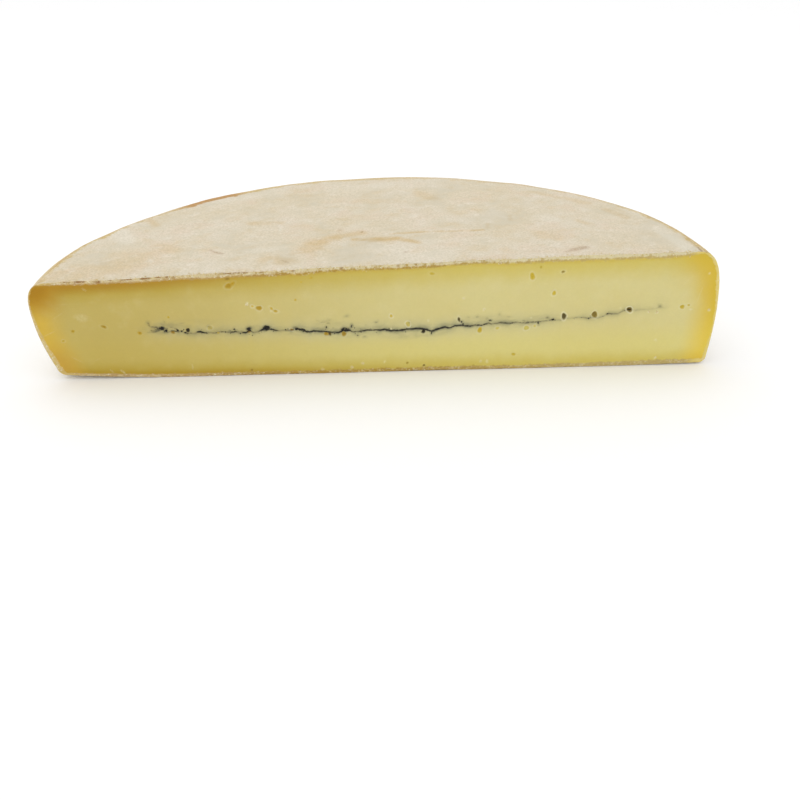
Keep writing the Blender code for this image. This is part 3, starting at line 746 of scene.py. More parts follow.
def paste_tones(nodes, x, z, broad, patchy):
    """The paste's colours: darker towards the left, yellower towards rind and foot, amber at the ends and in
    the corners, and darker amber under the top rind at the left, partly painted shade.
    """
    top_gap, bottom_gap = nodes.value("top_gap"), nodes.value("bottom_gap")
    wander = (patchy - 0.5) * (6 * MM)
    left_in, right_in = nodes.value("left_gap") + wander, nodes.value("right_gap") + wander * 0.6
    along = nodes.step(x, -0.172, 0.06)
    under_top = nodes.step(top_gap + wander, 17 * MM, 2 * MM)
    over_foot = nodes.step(bottom_gap + wander, 12 * MM, 1 * MM)
    yellow = nodes.paint(nodes.step(x, -0.15, 0.08), (179, 152, 42), (204, 185, 84))
    right_tone = nodes.paint(nodes.step(z, 40 * MM, 8 * MM), (212, 179, 38), (226, 197, 72))
    # darker amber under the top rind at the left and in the top-left corner: partly the paste's amber, partly
    # painted shade
    deep = nodes.step(top_gap, 9.5 * MM, 1.5 * MM) * nodes.step(x, -0.04, -0.14)
    low = nodes.step(bottom_gap, 5.5 * MM, 1 * MM) * nodes.step(x, 0.05, -0.13)
    left_foot = nodes.step(left_in, 20 * MM, 4 * MM) * nodes.step(bottom_gap, 24 * MM, 8 * MM)
    left_top = nodes.step(left_in, 24 * MM, 4 * MM) * nodes.step(top_gap, 24 * MM, 6 * MM)
    right_top = nodes.step(right_in, 30 * MM, 4 * MM) * nodes.step(top_gap, 36 * MM, 4 * MM)
    right_foot = nodes.step(right_in, 20 * MM, 2 * MM) * nodes.step(bottom_gap, 9 * MM, 2 * MM)
    return nodes.coats(
        nodes.paint(along, (190, 170, 92), (212, 201, 139)),
        (nodes.step(broad, 0.38, 0.68) * 0.22, (208, 190, 116)),
        (nodes.step(patchy, 0.5, 0.75) * 0.15, (220, 210, 158)),
        (nodes.step(bottom_gap, 30 * MM, 12 * MM) * 0.6, nodes.paint(along, (193, 172, 84), (219, 208, 124))),
        (nodes.math("MAXIMUM", under_top, over_foot) * 0.85, yellow),
        # partly painted shade: darker amber under the top rind at the left
        (deep * 0.9, (168, 124, 22)),
        (low * 0.75, (172, 136, 26)),
        (nodes.step(left_in, 19.5 * MM, 2 * MM) * 0.85, (210, 174, 58)),
        (left_foot * 0.7, (190, 150, 56)),
        # partly painted shade: the top-left corner painted darkest
        (left_top * 0.94, (168, 121, 4)),
        (nodes.step(right_in, 19 * MM, 1 * MM) * 0.92, right_tone),
        (right_top * 0.55, (208, 178, 60)),
        (right_foot * 0.6, (216, 180, 62)),
    )


def paste_ash(nodes, place, colour, fine):
    """The paste under its veil, haze and smears of ash, and how much ash lies at each place."""
    wisps = nodes.noise(place, 4.2, 4.0, 0.65, 0.5, (1.8, 1.0, 0.9))
    haze = (nodes.value("haze") * (nodes.step(wisps, 0.3, 0.7) + 0.45)).clamped()
    ash = nodes.value("ash") * (nodes.step(fine, 0.3, 0.7) + 0.45)
    ash = (ash + (wisps - 0.5) * nodes.step(ash, 0.02, 0.3) * 0.9).clamped()
    black = nodes.paint(nodes.step(ash, 0.3, 0.9), (78, 74, 54), (28, 26, 23))
    colour = nodes.coats(colour, (nodes.value("veil"), (196, 192, 152)), (haze, (92, 96, 78)), (ash, black))
    return colour, ash


def paste_eyes(nodes, x, colour, ash):
    """The paste with its eyes: a pale rim painted on as a highlight, golden to brown inside, darker by
    painted shade in the hollow and where ash fell in, and a painted lit ring just inside the rim.
    """
    eye, dark = nodes.value("eye"), nodes.value("eye_shade_and_ash")
    to_right = nodes.step(x, -0.05, 0.05)
    # inside an eye: golden, then brown, then near black with its darkness, which is painted shade in the
    # hollow and ash where it fell in; below 0 it is paler, painted light
    inside = nodes.coats(
        nodes.paint(to_right, (196, 160, 36), (198, 172, 46)),
        (nodes.step(dark, 0.0, -0.3), nodes.paint(to_right, (176, 160, 92), (200, 186, 96))),
        (nodes.step(dark, 0.0, 0.55), nodes.paint(to_right, (146, 110, 28), (132, 110, 40))),
        (nodes.step(dark, 0.5, 0.95), (32, 26, 14)),
    )
    # painted light: a lighter ring just inside the eye's rim, paler the less dark the eye
    lit = nodes.paint(nodes.step(dark, 1.1, -0.2), inside, (206, 188, 90))
    inside = nodes.paint(nodes.step(eye, -0.1 * MM, -0.7 * MM), nodes.paint(0.5, inside, lit), inside)
    # painted highlight: a pale ring round the eye's rim
    rim_highlight = nodes.step(eye, 1.1 * MM, 0.3 * MM) * nodes.value("eye_rim_highlight")
    in_eye = nodes.step(eye, 0.35 * MM, -0.25 * MM) * 0.95
    return nodes.coats(
        colour, (rim_highlight * 0.65, (224, 218, 182)), (in_eye, inside), (ash * in_eye * 0.6, (40, 36, 30)))


def rind_strip(nodes, place, x, colour, small, fine):
    """The paste with its crumbly strip of rind, frayed and cracked, its gaps and cracks in painted shade and
    its flecks partly painted highlights, and how much rind lies at each place.
    """
    ragged = (small - 0.5) * (2.4 * MM) + (fine - 0.5) * (1.8 * MM)
    below_band = nodes.value("top_rind")
    top_rind = nodes.step(below_band + ragged, 0.8 * MM, -0.6 * MM)
    edge_rind = nodes.step(nodes.value("edge_rind") + ragged, 0.5 * MM, -0.6 * MM)
    rind = nodes.math("MAXIMUM", top_rind, edge_rind)
    fringe = nodes.step(below_band, 2.2 * MM, 0.4 * MM) * nodes.step(small, 0.3, 0.6)
    tan = nodes.coats(
        nodes.paint(nodes.step(x, -0.13, -0.03), (190, 160, 112), (174, 140, 66)),
        (nodes.step(x, 0.0, 0.12), (188, 164, 106)),
        (nodes.step(nodes.value("right_gap"), 12 * MM, 4 * MM), (226, 204, 122)),
        (nodes.step(nodes.value("left_gap"), 12 * MM, 4 * MM), (208, 180, 108)),
    )
    cream = nodes.paint(nodes.step(x, -0.13, 0.1), (216, 197, 152), (219, 206, 168))
    upper = nodes.step(below_band, -0.3 * MM, -1.5 * MM) * 0.34
    mixed = small + fine * 0.9 + upper + nodes.step(x, -0.05, -0.14) * 0.12
    torn_end = nodes.step(x, 0.12, -0.12)
    frays = nodes.noise(place, 1.1, 3.0, 0.75, 0.0, (1.6, 1.0, 1.0))
    crack = (nodes.value("crack") * nodes.step(fine, 0.25, 0.5)).clamped()
    colour = nodes.coats(
        colour,
        (fringe * 0.5, nodes.paint(nodes.step(x, -0.13, 0.05), (176, 134, 40), (200, 172, 70))),
        (rind * 0.9, nodes.paint(nodes.step(mixed, 0.94, 1.30), tan, cream)),
        # white flecks on the rind strip: pale crumbs, partly painted highlights on them
        (rind * nodes.step(frays, 0.54, 0.66) * (torn_end * 0.45 + 0.3), (232, 224, 196)),
        # painted shade: brown in the gaps along the top of the strip, more towards the left
        (top_rind * nodes.step(frays, 0.44, 0.33) * (torn_end * 0.55 + 0.15), (166, 126, 66)),
        # painted shade: dark brown in the cracks
        (crack * (torn_end * 0.6 + 0.25), (146, 94, 42)),
    )
    return colour, rind


def paste_finish():
    """Pale yellow paste at the cut, with its ash, eyes and flecks, and the rind's crumbly edge round it."""
    material, nodes, place = new_finish("paste_finish")
    x, _, z = nodes.parts(place)
    broad = nodes.noise(place, 45.0, 3.0, 0.5)
    patchy = nodes.noise(place, 12.0, 3.0, 0.6)
    small = nodes.noise(place, 3.5, 3.0, 0.6)
    fine = nodes.noise(place, 1.2, 3.0, 0.6)
    colour, ash = paste_ash(nodes, place, paste_tones(nodes, x, z, broad, patchy), fine)
    fleck = (nodes.value("fleck") * (nodes.step(fine, 0.3, 0.6) + 0.3)).clamped()
    colour = nodes.coats(paste_eyes(nodes, x, colour, ash), (fleck * 0.65, (226, 219, 178)))
    colour, rind = rind_strip(nodes, place, x, colour, small, fine)
    speckle = fine * 0.07 + small * 0.05 + 0.94
    scrape = nodes.noise(place, 1.6, 3.0, 0.6, 0.0, (26.0, 1.0, 1.0))
    height = scrape * (0.05 * MM) + small * (0.05 * MM) + fine * rind * (0.35 * MM) + fine * (0.02 * MM)
    rough = rind * 0.3 + small * 0.16 + 0.4
    shader = nodes.finish(nodes.dim(colour, speckle, speckle), rough, 0.24, height)
    shader.inputs["Subsurface Weight"].default_value = 0.12
    shader.inputs["Subsurface Radius"].default_value = (1.0, 0.7, 0.25)
    shader.inputs["Subsurface Scale"].default_value = 4 * MM
    return material


def ash_finish():
    """Blue-black ash, matt, with greyer and browner spots."""
    material, nodes, place = new_finish("ash_finish")
    small = nodes.noise(place, 2.4, 3.0, 0.6)
    fine = nodes.noise(place, 0.7, 3.0, 0.7)
    colour = nodes.paint(nodes.step(small, 0.38, 0.68), (27, 26, 25), (56, 54, 48))
    colour = nodes.paint(nodes.step(fine, 0.5, 0.74) * 0.5, colour, (92, 84, 62))
    nodes.finish(colour, fine * 0.15 + 0.78, 0.3, fine * (0.15 * MM))
    return material


def crumb_finish():
    """Dry cream crumbs, whiter here and there."""
    material, nodes, place = new_finish("crumb_finish")
    patchy = nodes.noise(place, 4.0)
    fine = nodes.noise(place, 0.7, 3.0, 0.6)
    colour = nodes.paint(nodes.step(patchy, 0.4, 0.6), (212, 192, 138), (230, 221, 190))
    colour = nodes.paint(fine * 0.4, colour, (204, 176, 110))
    nodes.finish(colour, fine * 0.2 + 0.6, 0.3, fine * (0.1 * MM))
    return material


def floor_finish():
    """Plain pale studio paper."""
    material, nodes, place = new_finish("paper")
    tooth = nodes.noise(place, 4.0)
    colour = nodes.paint(tooth * 0.1, (253.3, 253.3, 253.3), (250.5, 250.5, 250.5))
    nodes.finish(colour, 0.9, 0.1)
    return material


def disc_cover(across, back, flat_radius, height, face_up, shoulder_rows):
    """A closed shell of rind over one face of the half wheel, with any shoulder rows round its arc."""
    skin = Skin()
    start = CUT_OFFSET + LIP
    u, v = np.meshgrid(np.linspace(-1, 1, across + 1), np.linspace(0, 1, back + 1))
    a, b = u * np.sqrt(1 - v**2 / 2), v * np.sqrt(1 - u**2 / 2)
    turn = np.arctan2(b, a)
    reach = np.hypot(a, b) * ray(turn, flat_radius, start)
    x, y = reach * np.cos(turn), start + reach * np.sin(turn)
    drum = np.stack((x.ravel(), y.ravel(), np.full(x.size, height)), 1)
    sign = 1.0 if face_up else -1.0
    lean = np.tile((0.0, sign), (len(drum), 1))
    table = np.arange(x.size).reshape(x.shape)
    arc = np.concatenate((table[:, -1], table[-1, -2::-1], table[-2::-1, 0]))
    rows = [arc]
    run = np.hypot(drum[:, 0], drum[:, 1]) - flat_radius
    if not face_up:
        run = FOOT_RUN - run
    for length in np.linspace(0, RIM_RUN, shoulder_rows + 1)[1:]:
        bend = turn.ravel()[arc]
        radius, level, out, rise = profile_at(length)
        far = ray(bend, radius, start)
        ring = np.stack((far * np.cos(bend), start + far * np.sin(bend), np.full(len(bend), level)), 1)
        rows.append(np.arange(len(ring)) + len(drum))
        drum = np.concatenate((drum, ring))
        lean = np.concatenate((lean, np.tile((out, rise), (len(ring), 1))))
        run = np.concatenate((run, np.full(len(ring), length)))
    around = np.arctan2(drum[:, 1], drum[:, 0])
    outward = np.stack((lean[:, 0] * np.cos(around), lean[:, 0] * np.sin(around), lean[:, 1]), 1)
    cloth = np.stack((WIDEST_RADIUS * (around - math.pi / 2), run - RIM_RUN, np.zeros(len(drum))), 1)
    groove = RIM_GROOVE * np.exp(-((run - RIM_GROOVE_RUN) / RIM_GROOVE_WIDTH) ** 2)
    sheet = drum[:, :2] + np.array((WIDEST_RADIUS, 0.0))
    outer = skin.add(settle(drum - groove[:, None] * outward), outward, cloth, sheet)
    skin.quads(outer[table])
    if shoulder_rows:
        skin.quads(outer[np.array(rows)])
    left = [r[-1] for r in rows[-2:0:-1]]
    right = [r[0] for r in rows[1:-1]]
    loop = np.concatenate((rows[-1], np.array(left, int), table[0, :], np.array(right, int)))
    if not shoulder_rows:
        loop = np.concatenate((arc, table[0, 1:-1]))
    inner = drum[loop] - RIND * outward[loop]
    inner[:, 1] = np.maximum(inner[:, 1], start)
    middle = np.array((0.0, start + HUB_BEHIND_CUT * flat_radius, height - sign * RIND))
    rings = [outer[loop]]
    for share in (1.0, 0.9, 0.6, 0.25):
        ring = middle + share * (inner - middle)
        if share < 1.0:
            ring[:, 2] = middle[2]
        hidden_sheet = np.array((0.0, 0.25)) + 0.01 * ring[:, :2]
        rings.append(skin.add(settle(ring), None, None, hidden_sheet))
    skin.quads(np.array([np.append(r, r[0]) for r in rings]))
    hub = skin.add(settle(middle[None, :]))
    last = rings[-1]
    for i in range(len(last)):
        skin.polygon((last[i], last[(i + 1) % len(last)], hub[0]))
    return skin, drum, cloth


def cloth_press(along, down):
    """How hard the cloth pressed into each place on the side, from 0 to 1, less towards the foot."""
    below = down.ravel()
    places = np.stack((along.ravel(), below * 2.0, np.zeros(along.size)), 1)
    patches = 0.7 * noise_at(places, 0.034) + 0.4 * noise_at(places + 3.0, 0.013)
    upper = np.interp(below, (0.0, 0.004, 0.026, 0.050), (0.0, 0.35, 0.15, -0.15))
    pressed = np.clip(0.62 + patches + upper, 0.12, 1.0) * np.clip(below / 0.003, 0, 1)
    return pressed.reshape(along.shape)


def flank_cover():
    """The closed shell of rind round the side, from the rim down to the foot, dented by the cloth's weave."""
    skin = Skin()
    start = CUT_OFFSET + LIP
    columns = 3 * round(math.pi * WIDEST_RADIUS / CLOTH_PITCH)
    rows = 2 * round((FOOT_RUN - RIM_RUN) / CLOTH_ROW)
    column, row = np.meshgrid(np.arange(columns + 1), np.arange(rows + 1))
    along = (column - columns // 2) * CLOTH_PITCH / 3
    down = row * CLOTH_ROW / 2
    spots = np.stack((along.ravel(), down.ravel(), np.zeros(along.size)), 1)
    fade = np.sin(math.pi * column / columns) ** 0.5 * np.sin(math.pi * row / rows)
    drift = noise_at(spots, 0.060).reshape(along.shape) * fade * CLOTH_DRIFT
    sag = noise_at(spots + 7.0, 0.048).reshape(along.shape) * fade * CLOTH_SAG
    share = np.clip((column + drift / (CLOTH_PITCH / 3)) / columns, 0, 1)
    runs = np.clip(RIM_RUN + (row / rows) * (FOOT_RUN - RIM_RUN) + sag, RIM_RUN, FOOT_RUN)

    def band(run, across, depth):
        radius, level, out, rise = profile_at(run)
        radius = radius - depth * out
        first = np.arcsin(start / radius)
        around = first + (math.pi - 2 * first) * across
        places = np.stack((radius * np.cos(around), radius * np.sin(around), level - depth * rise), -1)
        places[:, 0, 1] = places[:, -1, 1] = start
        return places, np.stack((out * np.cos(around), out * np.sin(around), rise), -1)

    drum, outward = band(runs, share, 0.0)
    pressed = cloth_press(along, down)
    pit = (row % 2 == 1) & ((column - columns // 2 - row // 2) % 3 == 0)
    depth = PIT_DEPTH * pressed * np.where(pit, 1.0, 0.0)
    depth[:, :2] = depth[:, -2:] = 0.0
    cloth = np.stack((along, down, pressed), -1)
    strips = 3
    third = columns // strips
    step = math.pi * WIDEST_RADIUS / columns
    sheet = np.stack((column * step, down), -1)
    places = settle((drum - depth[..., None] * outward).reshape(-1, 3))
    outer = skin.add(places, outward.reshape(-1, 3), cloth.reshape(-1, 3), sheet.reshape(-1, 2))
    table = outer.reshape(rows + 1, columns + 1)
    strip = np.minimum(np.arange(columns) // third, strips - 1)
    shift = np.stack((-strip * third * step, strip * (FOOT_RUN - RIM_RUN + 0.002)), -1)
    skin.quads(table, np.tile(shift, (rows, 1, 1)))

    inner_runs = np.concatenate(([RIM_RUN], np.linspace(RIM_RUN, FOOT_RUN - BOTTOM_EDGE, 5)[1:], [FOOT_RUN]))
    even = np.tile(np.arange(columns + 1) / columns, (len(inner_runs), 1))
    hidden, _ = band(np.repeat(inner_runs[:, None], columns + 1, 1), even, RIND)
    back = skin.add(settle(hidden.reshape(-1, 3))).reshape(len(inner_runs), columns + 1)
    skin.quads(back[::-1])
    skin.quads(np.array((back[0], table[0])))
    skin.quads(np.array((table[-1], back[-1])))
    skin.polygon(np.concatenate((table[::-1, 0], back[:, 0])))
    skin.polygon(np.concatenate((table[:, -1], back[::-1, -1])))
    return skin, drum.reshape(-1, 3), cloth.reshape(-1, 3)


def ash_path(x):
    """Height, width and darkness of the ash line at a place along the cut, from the wheel's axis."""
    line = np.array(ASH_LINE)
    level = np.interp(x, line[:, 0] * MM, line[:, 1] * MM)
    thick = np.interp(x, line[:, 0] * MM, line[:, 2] * MM)
    dark = np.interp(x, line[:, 0] * MM, line[:, 3], left=0.0, right=0.0)
    along = np.stack((x, np.zeros_like(x), np.zeros_like(x)), 1)
    wiggle = 0.20 * MM * noise_at(along, 0.0032) + 0.14 * MM * noise_at(along + 1.0, 0.0012)
    return level + wiggle, thick, dark


def ash_depth_height(x, y):
    """Height of the ash layer inside the paste, which rises to both ends."""
    away = x - ASH_LOW_X
    right = ASH_RISE_RIGHT * (away / ASH_REACH_RIGHT) ** 2
    left = ASH_RISE_LEFT * (away / ASH_REACH_LEFT) ** 2
    wave = ASH_WAVE * np.sin(y / ASH_WAVE_BACK + x / ASH_WAVE_ALONG)
    return ASH_LOW_Z + np.where(away > 0, right, left) + wave


def in_spot(x, z, spot_x, spot_z, width, height, lean, number):
    """Distance from a spot's middle as a share of the way to its uneven edge."""
    turn = math.radians(lean)
    dx, dz = x - spot_x * MM, z - spot_z * MM
    a = dx * math.cos(turn) + dz * math.sin(turn)
    b = dz * math.cos(turn) - dx * math.sin(turn)
    angle = np.arctan2(b, a)
    wobble = 1 + 0.10 * np.sin(2 * angle + number) + 0.07 * np.sin(3 * angle + 2.3 * number)
    return np.hypot(a / (width / 2 * MM), b / (height / 2 * MM)) / wobble


def eye_fields(x, z):
    """Distance to the nearest eye's rim, its darkness (painted shade and ash), how pale its rim is (a painted
    highlight) and the depth of its hollow.
    """
    nearest = np.full(x.shape, FAR_FROM_EYES)
    dark, pale, hollow = np.zeros(x.shape), np.zeros(x.shape), np.zeros(x.shape)
    for number, (ex, ez, width, height, lean, darkness, rim) in enumerate(EYES):
        ratio = in_spot(x, z, ex, ez, width, height, lean, number)
        small = min(width, height) / 2 * MM
        distance = (ratio - 1) * small
        depth = 2 * small * EYE_DEPTH_SHARE * (0.7 + 0.6 * darkness) * np.sqrt(np.clip(1 - ratio**2, 0, 1))
        hollow = np.maximum(hollow, depth)
        closer = distance < nearest
        nearest = np.where(closer, distance, nearest)
        dark = np.where(closer, darkness, dark)
        pale = np.where(closer, rim, pale)
    return nearest, dark, pale, hollow


def spot_amount(x, z, spots):
    """How strongly soft-edged spots cover each place of the cut."""
    amount = np.zeros(x.shape)
    for number, (sx, sz, width, height, lean, strength) in enumerate(spots):
        reach = 2 * max(width, height) * MM
        near = (np.abs(x - sx * MM) < reach) & (np.abs(z - sz * MM) < reach)
        ratio = in_spot(x[near], z[near], sx, sz, width, height, lean, number)
        amount[near] = np.maximum(amount[near], strength * smooth(ratio, 1.45, 0.55))
    return amount


def rind_depths(wheel_x, z, top_gap, bottom_gap, left_gap, right_gap):
    """How far each place of the cut lies inside the rind of the top, and inside that of foot and ends."""
    def inside(gap, along, rind):
        return gap - np.interp(along, *(np.array(rind) * MM).T)

    ends = np.minimum(inside(left_gap, z, LEFT_RIND), inside(right_gap, z, RIGHT_RIND))
    return inside(top_gap, wheel_x, TOP_RIND), np.minimum(inside(bottom_gap, wheel_x, FOOT_RIND), ends)


def crack_amount(wheel_x, top_gap):
    """Where the top rind has cracked away from the cut's edge."""
    amount = np.zeros(wheel_x.shape)
    along = np.stack((wheel_x.ravel(), np.zeros(wheel_x.size), np.zeros(wheel_x.size)), 1)
    wander = 0.35 * MM * noise_at(along, 0.0022) + 0.20 * MM * noise_at(along + 1.0, 0.0009)
    depth = top_gap + wander.reshape(wheel_x.shape)
    for start, end, deep, width in RIND_CRACKS:
        taper = smooth(wheel_x, (start - 0.6) * MM, (start + 0.8) * MM)
        taper = taper * smooth(wheel_x, (end + 0.6) * MM, (end - 0.8) * MM)
        away = np.abs(depth - deep * MM)
        crack = taper * smooth(away, (width / 2 + 0.35) * MM, (width / 2 - 0.15) * MM)
        amount = np.maximum(amount, crack)
    return amount


def face_runs(rows):
    """Lengths along the profile for the rows of the cut's grid, which are closest together near the ash."""
    fine = np.linspace(FOOT_RUN, 0.0, 4001)
    level = np.interp(fine, PROFILE_RUN, PROFILE_HEIGHT)
    crowd = np.cumsum(1 + ASH_CROWDING * np.exp(-((level - ASH_MIDDLE) / CROWDING_REACH) ** 2))
    return np.interp(np.linspace(crowd[0], crowd[-1], rows + 1), crowd, fine)


def cut_fields(x, z):
    """What the finish and the relief of the paste need to know at each place of the cut."""
    top_gap, bottom_gap = z[-1] - z, z - z[0]
    left_gap, right_gap = x - x[:, :1], x[:, -1:] - x
    wheel_x = x - AXIS_X
    eye, eye_shade_and_ash, eye_rim_highlight, hollow = eye_fields(wheel_x, z)
    line_x = np.linspace(wheel_x.min(), wheel_x.max(), 4000)
    line = ash_path(line_x)
    path, thick, power = (np.interp(wheel_x, line_x, values) for values in line)
    off = z - path
    smudge = np.interp(wheel_x, line_x, np.convolve(line[2], np.full(90, 1 / 90), "same"))
    core = power * smooth(np.abs(off), 0.36 * thick + 0.55 * MM, 0.36 * thick - 0.20 * MM)
    haze = smudge**0.85 * np.exp(-np.abs(off) / np.where(off > 0, HAZE_UP, HAZE_DOWN))
    around_spots = [(s[0], s[1], s[2] + 2.0, s[3] + 2.0, s[4], s[5]) for s in ASH_SPOTS]
    hazes = (haze, spot_amount(wheel_x, z, ASH_HAZE), 0.5 * spot_amount(wheel_x, z, around_spots))
    top_rind, edge_rind = rind_depths(wheel_x, z, top_gap, bottom_gap, left_gap, right_gap)
    fields = {
        "top_gap": top_gap, "bottom_gap": bottom_gap, "left_gap": left_gap, "right_gap": right_gap,
        "top_rind": top_rind, "edge_rind": edge_rind, "eye": eye, "eye_shade_and_ash": eye_shade_and_ash, "eye_rim_highlight": eye_rim_highlight,
        "ash": np.maximum(core, spot_amount(wheel_x, z, ASH_SPOTS)), "haze": np.maximum.reduce(hazes),
        "veil": VEIL * smudge * np.exp(-((off / VEIL_REACH) ** 2)), "crack": crack_amount(wheel_x, top_gap),
        "fleck": spot_amount(wheel_x, z, PALE_FLECKS),
    }
    return fields, hollow


def cut_relief(x, z, fields, hollow):
    """How far behind the cut's plane each place lies: eyes, crumbly rind, knife marks, ash and cracks."""
    places = np.stack((x.ravel(), np.zeros(x.size), z.ravel()), 1)
    crumbly = smooth(np.minimum(fields["top_rind"], fields["edge_rind"]), 0.8 * MM, -0.6 * MM)
    rough = noise_at(places, 0.0016) + 0.6 * noise_at(places + 1.0, 0.0040)
    knife = noise_at(places * np.array((KNIFE_STRETCH, 1.0, 1.0)), 0.0042)
    waves = KNIFE_RIPPLE * knife + FACE_SWELL * noise_at(places, 0.050)
    edge = np.minimum.reduce([fields[side + "_gap"] for side in ("top", "bottom", "left", "right")])
    inward = hollow + CRUMB_DEPTH * rough.reshape(x.shape) * crumbly + waves.reshape(x.shape)
    inward += ASH_GROOVE * np.clip(fields["ash"], 0, 1) + CRACK_DEPTH * fields["crack"]
    return inward - FLECK_RISE * fields["fleck"] + EDGE_ROUNDING * np.exp(-edge / EDGE_RUN)


def close_paste(skin, table, drum, out, rise):
    """Runs the paste from the edges of the cut in under the rind and closes it behind."""
    rows, columns = table.shape[0] - 1, table.shape[1] - 1
    loop = np.concatenate((table[0, :], table[1:, -1], table[-1, -2::-1], table[-2:0:-1, 0]))
    flat_drum = drum.reshape(-1, 3)[loop]
    column, row = loop % (columns + 1), loop // (columns + 1)
    at_end = (column == 0) | (column == columns)
    side = np.where(column == columns, 1.0, -1.0)
    inward = -np.stack((np.where(at_end, side * out[row], 0.0), np.zeros(len(loop)),
                        np.where(at_end, rise[row], np.where(row == 0, -1.0, 1.0))), 1)
    under = RIND - RIND_OVERLAP
    rings = [loop]
    for inset, behind in ((0.0, 0.30 * MM), (0.0, LIP + 0.05 * MM), (under, LIP + 0.1 * MM), (under, 3 * MM)):
        ring = flat_drum + inset * inward
        ring[:, 1] += behind
        hidden_sheet = 0.4 * (ring[:, :2] + np.array((0.2, 0.145)))
        rings.append(skin.add(settle(ring), None, None, hidden_sheet))
    inner = flat_drum + under * inward
    turn = np.arccos(np.clip(inner[:, 0] / np.abs(inner[:, 0]).max(), -1, 1))
    reach = np.interp(inner[:, 2], (0.0, THICKNESS), (PROFILE_RADIUS[-1], FLAT_RADIUS)) - 0.6 * RIND
    first = np.arcsin((CUT_OFFSET + 4 * MM) / reach)
    around = first + (math.pi - 2 * first) * turn / math.pi
    back = np.stack((reach * np.cos(around), reach * np.sin(around), inner[:, 2]), 1)
    hidden_sheet = 0.4 * np.stack((back[:, 0] + 0.2, 0.2 + 0.3 * back[:, 2]), 1)
    last = skin.add(settle(back), None, None, hidden_sheet)
    skin.quads(np.array([np.append(r, r[0]) for r in rings + [last]]))
    bottom_row = last[: columns + 1]
    right_col = last[columns: columns + rows + 1]
    top_row = last[columns + rows: 2 * columns + rows + 1][::-1]
    left_col = np.append(last[2 * columns + rows:], last[0])
    n = 3
    skin.quads(np.array((top_row[n:-n], bottom_row[n:-n])))
    skin.polygon(np.concatenate((bottom_row[: n + 1], top_row[: n + 1][::-1], left_col[1:-1]))[::-1])
    skin.polygon(np.concatenate((bottom_row[-n - 1:], right_col[1:-1], top_row[-n - 1:][::-1]))[::-1])


def paste_body(columns, rows):
    """The paste out to the cut face, whose fine grid carries the eyes, the ash groove and the knife marks."""
    skin = Skin()
    radius, level, out, rise = profile_at(face_runs(rows))
    half = np.sqrt(radius**2 - CUT_OFFSET**2)
    across = half[:, None] * np.linspace(-1, 1, columns + 1)[None, :]
    height = np.repeat(level[:, None], columns + 1, 1)
    drum = np.stack((across, np.full(across.shape, CUT_OFFSET), height), -1)
    face = settle(drum.reshape(-1, 3)).reshape(drum.shape)
    x, z = face[..., 0], face[..., 2]
    fields, hollow = cut_fields(x, z)
    face[..., 1] += cut_relief(x, z, fields, hollow)

    sheet_x = x - x.min()
    sheet = np.stack((sheet_x, z), -1)
    front = skin.add(face.reshape(-1, 3), None, None, sheet.reshape(-1, 2))
    right_half = np.tile(np.arange(columns) >= columns // 2, (rows, 1))
    shift = np.where(right_half[..., None], np.array((-0.5 * sheet_x.max(), PASTE_SHEET_ROW)), 0.0)
    table = front.reshape(x.shape)
    skin.quads(table, shift)
    close_paste(skin, table, drum, out, rise)

    mesh = skin.mesh("paste", PASTE_SHEET)
    for name, field in fields.items():
        behind = np.full(skin.count - x.size, HIDDEN_VALUES.get(name, 0.0))
        add_values(mesh, name, np.concatenate((field.ravel(), behind)))
    return mesh


def mark_amount(x, y, marks):
    """How strongly soft-edged strokes cover each place on the top."""
    amount = np.zeros(x.shape)
    for ax, ay, bx, by, width, strength in marks:
        a, b = np.array((ax, ay)) * MM, np.array((bx, by)) * MM
        run = b - a
        along = np.clip(((x - a[0]) * run[0] + (y - a[1]) * run[1]) / (run @ run), 0, 1)
        away = np.hypot(x - a[0] - along * run[0], y - a[1] - along * run[1])
        amount = np.maximum(amount, strength * smooth(away, 0.85 * width * MM, 0.15 * width * MM))
    return amount


def rind_values(mesh, drum, cloth, extra):
    """The stains round the rim, how hard the cloth pressed, and the marks that show on the top."""
    upper = drum[:, 2] > THICKNESS / 2
    x, y = drum[:, 0], drum[:, 1] - CUT_OFFSET
    stain, orange, strip = np.array(RIM_STAIN), np.array(ORANGE_RIM), np.array(RIM_STRIP)
    fields = {
        "rim": np.interp(cloth[:, 0], stain[:, 0] * MM, stain[:, 1]),
        "strip": np.interp(cloth[:, 0], strip[:, 0] * MM, strip[:, 1] * MM),
        "orange": np.interp(cloth[:, 0], orange[:, 0] * MM, orange[:, 1]),
        "pressed": cloth[:, 2],
        "dark": np.where(upper, mark_amount(x, y, DARK_MARKS), 0.0),
        "tan": np.where(upper, mark_amount(x, y, TAN_MARKS), 0.0),
        "pale": np.where(upper, mark_amount(x, y, PALE_MARKS), 0.0),
    }
    for name, field in fields.items():
        add_values(mesh, name, np.concatenate((field, np.zeros(extra))))


def plain_copy(name, source, tree, values):
    """The source mesh after a node tree, made plain again."""
    draft = add_object(name, source)
    modifier = draft.modifiers.new(name, "NODES")
    modifier.node_group = tree
    for item in tree.interface.items_tree:
        if item.item_type == "SOCKET" and item.in_out == "INPUT" and item.name in values:
            modifier[item.identifier] = values[item.name]
    depsgraph = bpy.context.evaluated_depsgraph_get()
    result = bpy.data.meshes.new_from_object(draft.evaluated_get(depsgraph))
    draft.modifiers.remove(modifier)
    bpy.data.objects.remove(draft, do_unlink=True)
    result.name = name
    return result


